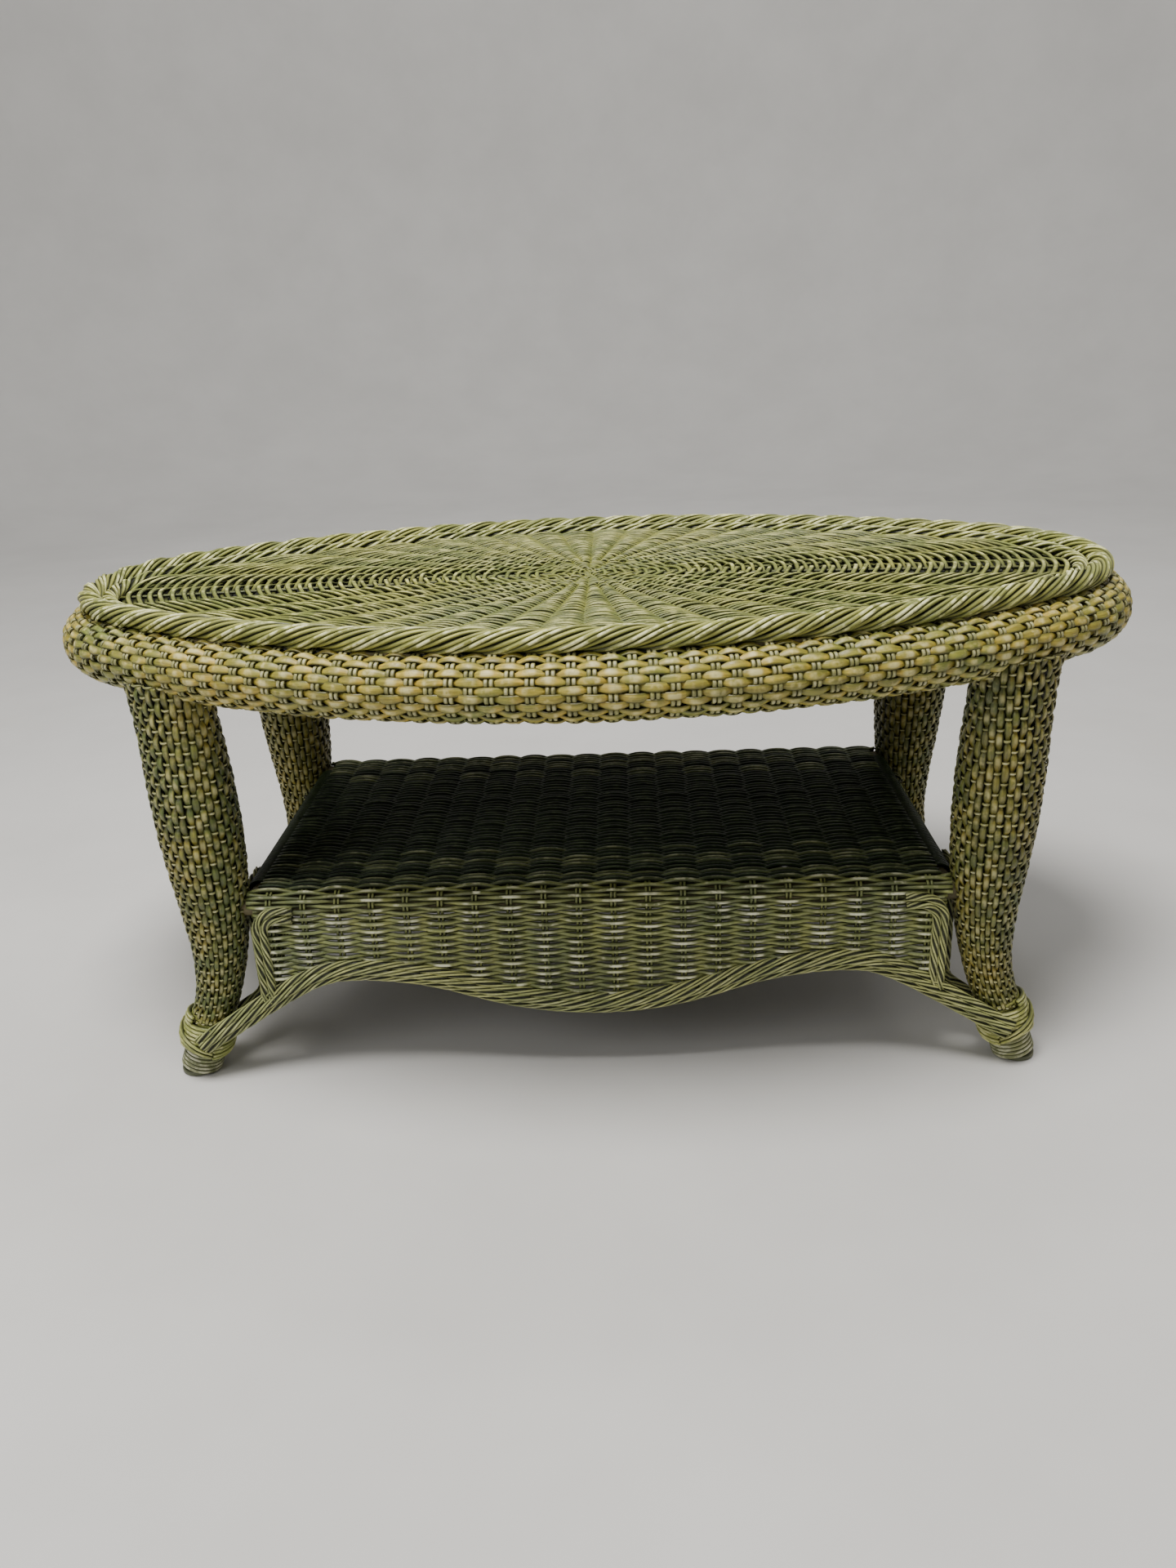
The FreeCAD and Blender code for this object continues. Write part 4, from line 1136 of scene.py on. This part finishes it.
for side, name in ((-1, "front"), (1, "rear")):
    for end, word in ((-1, "left"), (1, "right")):
        upright("end_rope_%s_%s" % (name, word), (0.0, side, 0.0))
        upright("end_rope_%s_%s" % (word, name), (end, 0.0, 0.0))

# %% [markdown]
# The frame shows only from below and through the gaps: peeled poles and plain slats, screws and
# nails, and a moulded glide under each foot. They keep their shapes and get their finish here.

# %% Frame finishes
def blotch_group():
    """Blotches of any size, as a mask: knots in wood, scuffs on a glide, the bloom on a screw."""
    group = bpy.data.node_groups.new("Blotches", "ShaderNodeTree")
    socket(group, "Scale", "NodeSocketFloat", 20.0)
    socket(group, "Low", "NodeSocketFloat", 0.4)
    socket(group, "High", "NodeSocketFloat", 0.7)
    socket(group, "Mask", "NodeSocketFloat", out=True)
    socket(group, "Height", "NodeSocketFloat", out=True)
    given = group.nodes.new("NodeGroupInput").outputs
    result = group.nodes.new("NodeGroupOutput").inputs
    place = group.nodes.new("ShaderNodeTexCoord").outputs["Object"]
    cloud = group.nodes.new("ShaderNodeTexNoise")
    cloud.inputs["Detail"].default_value = 4.0
    cloud.inputs["Roughness"].default_value = 0.62
    group.links.new(place, cloud.inputs["Vector"])
    group.links.new(given["Scale"], cloud.inputs["Scale"])
    group.links.new(ramp(group, cloud.outputs["Fac"], given["Low"], given["High"]), result["Mask"])
    group.links.new(cloud.outputs["Fac"], result["Height"])
    return group


BLOTCHES = blotch_group()


def blotches(tree, scale, low, high):
    node = tree.nodes.new("ShaderNodeGroup")
    node.node_tree = BLOTCHES
    for name, value in (("Scale", scale), ("Low", low), ("High", high)):
        node.inputs[name].default_value = value
    return node.outputs["Mask"], node.outputs["Height"]


def wood_material():
    material, tree, shader = new_material("frame_wood_finish")
    place = tree.nodes.new("ShaderNodeTexCoord").outputs["Object"]
    grain = tree.nodes.new("ShaderNodeMapping")
    grain.inputs["Scale"].default_value = (9.0, 90.0, 90.0)
    tree.links.new(place, grain.inputs[0])
    lines = noise(tree, grain.outputs[0], 1.0, 5.0, 0.6)
    knots, _ = blotches(tree, 14.0, 0.58, 0.75)
    color = blend(tree, ramp(tree, lines, 0.35, 0.68),
                  (0.085, 0.072, 0.030, 1), (0.20, 0.165, 0.080, 1))
    color = blend(tree, knots, color, (0.055, 0.045, 0.022, 1))
    tree.links.new(color, shader.inputs["Base Color"])
    tree.links.new(ramp(tree, lines, 0.3, 0.7, 0.75, 0.55), shader.inputs["Roughness"])
    bump(tree, shader, lines, 0.35, 0.0008)
    return material


def glide_material():
    material, tree, shader = new_material("glide_finish")
    scuffs, _ = blotches(tree, 60.0, 0.45, 0.72)
    _, speckle = blotches(tree, 420.0, 0.4, 0.6)
    color = blend(tree, scuffs, (0.085, 0.095, 0.045, 1), (0.20, 0.20, 0.12, 1))
    tree.links.new(color, shader.inputs["Base Color"])
    tree.links.new(ramp(tree, scuffs, 0.0, 1.0, 0.42, 0.68), shader.inputs["Roughness"])
    bump(tree, shader, speckle, 0.25, 0.0003)
    return material


def steel_material():
    material, tree, shader = new_material("steel_finish")
    bloom, height = blotches(tree, 240.0, 0.3, 0.7)
    color = blend(tree, bloom, (0.42, 0.42, 0.43, 1), (0.66, 0.66, 0.65, 1))
    tree.links.new(color, shader.inputs["Base Color"])
    tree.links.new(ramp(tree, bloom, 0.0, 1.0, 0.30, 0.50), shader.inputs["Roughness"])
    shader.inputs["Metallic"].default_value = 1.0
    bump(tree, shader, height, 0.20, 0.0002)
    return material


FINISHES["frame_wood"] = wood_material()
FINISHES["glide"] = glide_material()
FINISHES["steel"] = steel_material()
for part in frame["record"]["subparts"]:
    node = frame["nodes"].get(part["node"])
    if node is not None and part["material_slot"] in FINISHES:
        node.data.materials.clear()
        node.data.materials.append(FINISHES[part["material_slot"]])
print("frame pieces finished")

# %% [markdown]
# A plain pale floor and soft lamps: a wide one overhead, a fill from the left, a weak one behind
# that separates the rim from the ground, and one for the backdrop. Soft light keeps the small
# shadows in the weave, which a bare sky would wash out.

# %% Floor, light and camera
ROUND = 96


def floor():
    """A round pale floor that curves up into a backdrop on every side."""
    lift = np.linspace(0, math.pi / 2, 13)
    reach = np.concatenate([[0.0, 2.0], 3.6 + 1.6 * np.sin(lift), [5.2]])
    level = np.concatenate([[0.0, 0.0], 1.6 - 1.6 * np.cos(lift), [6.0]])
    around = np.arange(ROUND) * 2 * math.pi / ROUND
    points = np.stack([reach[:, None] * np.cos(around), reach[:, None] * np.sin(around),
                       level[:, None] + 0 * around], -1).reshape(-1, 3)
    faces = [(ROUND * i + j, ROUND * (i + 1) + j,
              ROUND * (i + 1) + (j + 1) % ROUND, ROUND * i + (j + 1) % ROUND)
             for i in range(len(reach) - 1) for j in range(ROUND)]
    mesh = bpy.data.meshes.new("floor")
    mesh.from_pydata(points.tolist(), [], faces)
    mesh.polygons.foreach_set("use_smooth", np.ones(len(faces), bool))
    piece = bpy.data.objects.new("floor", mesh)
    bpy.context.scene.collection.objects.link(piece)
    material, tree, shader = new_material("floor_finish")
    cloud, _ = blotches(tree, 3.0, 0.2, 0.8)
    color = blend(tree, cloud, (0.60, 0.59, 0.57, 1), (0.66, 0.65, 0.63, 1))
    tree.links.new(color, shader.inputs["Base Color"])
    shader.inputs["Roughness"].default_value = 0.75
    mesh.materials.append(material)


def lamp(name, place, target, size, power, color=(1.0, 1.0, 1.0)):
    data = bpy.data.lights.new(name, "AREA")
    data.shape = "DISK"
    data.size = size
    data.energy = power
    data.color = color
    light = bpy.data.objects.new(name, data)
    light.location = place
    light.rotation_euler = (Vector(target) - Vector(place)).to_track_quat("-Z", "Y").to_euler()
    bpy.context.scene.collection.objects.link(light)


floor()
lamp("key", (-0.35, -0.70, 2.8), (0, 0, 0.3), 1.2, 104, (1.0, 0.98, 0.95))
lamp("fill", (-1.9, -1.9, 1.7), (0, 0, 0.25), 1.4, 18)
lamp("back", (1.2, 1.6, 2.8), (0, 0, 0.4), 1.4, 8)
lamp("backdrop", (0.0, 1.9, 4.2), (0, 4.6, 1.6), 1.6, 60)
world = bpy.data.worlds.new("studio")
world.use_nodes = True
world.node_tree.nodes["Background"].inputs[0].default_value = (0.80, 0.80, 0.80, 1)
world.node_tree.nodes["Background"].inputs[1].default_value = 0.34
bpy.context.scene.world = world

CAMERA_PLACE = (0.0344, -1.1188, 0.6574)
LENS, SENSOR = 27.06, 36.0
camera_data = bpy.data.cameras.new("camera")
camera_data.lens = LENS
camera_data.sensor_width = SENSOR
camera = bpy.data.objects.new("camera", camera_data)
RIGHT = Vector((0.998958, 0.024094, -0.038749))
UPWARD = Vector((0.027247, 0.366192, 0.930140))
BACK = Vector((0.036600, -0.930227, 0.365154))
facing = Matrix((RIGHT, UPWARD, BACK)).transposed().to_4x4()
camera.matrix_world = Matrix.Translation(CAMERA_PLACE) @ facing
bpy.context.scene.collection.objects.link(camera)
bpy.context.scene.camera = camera
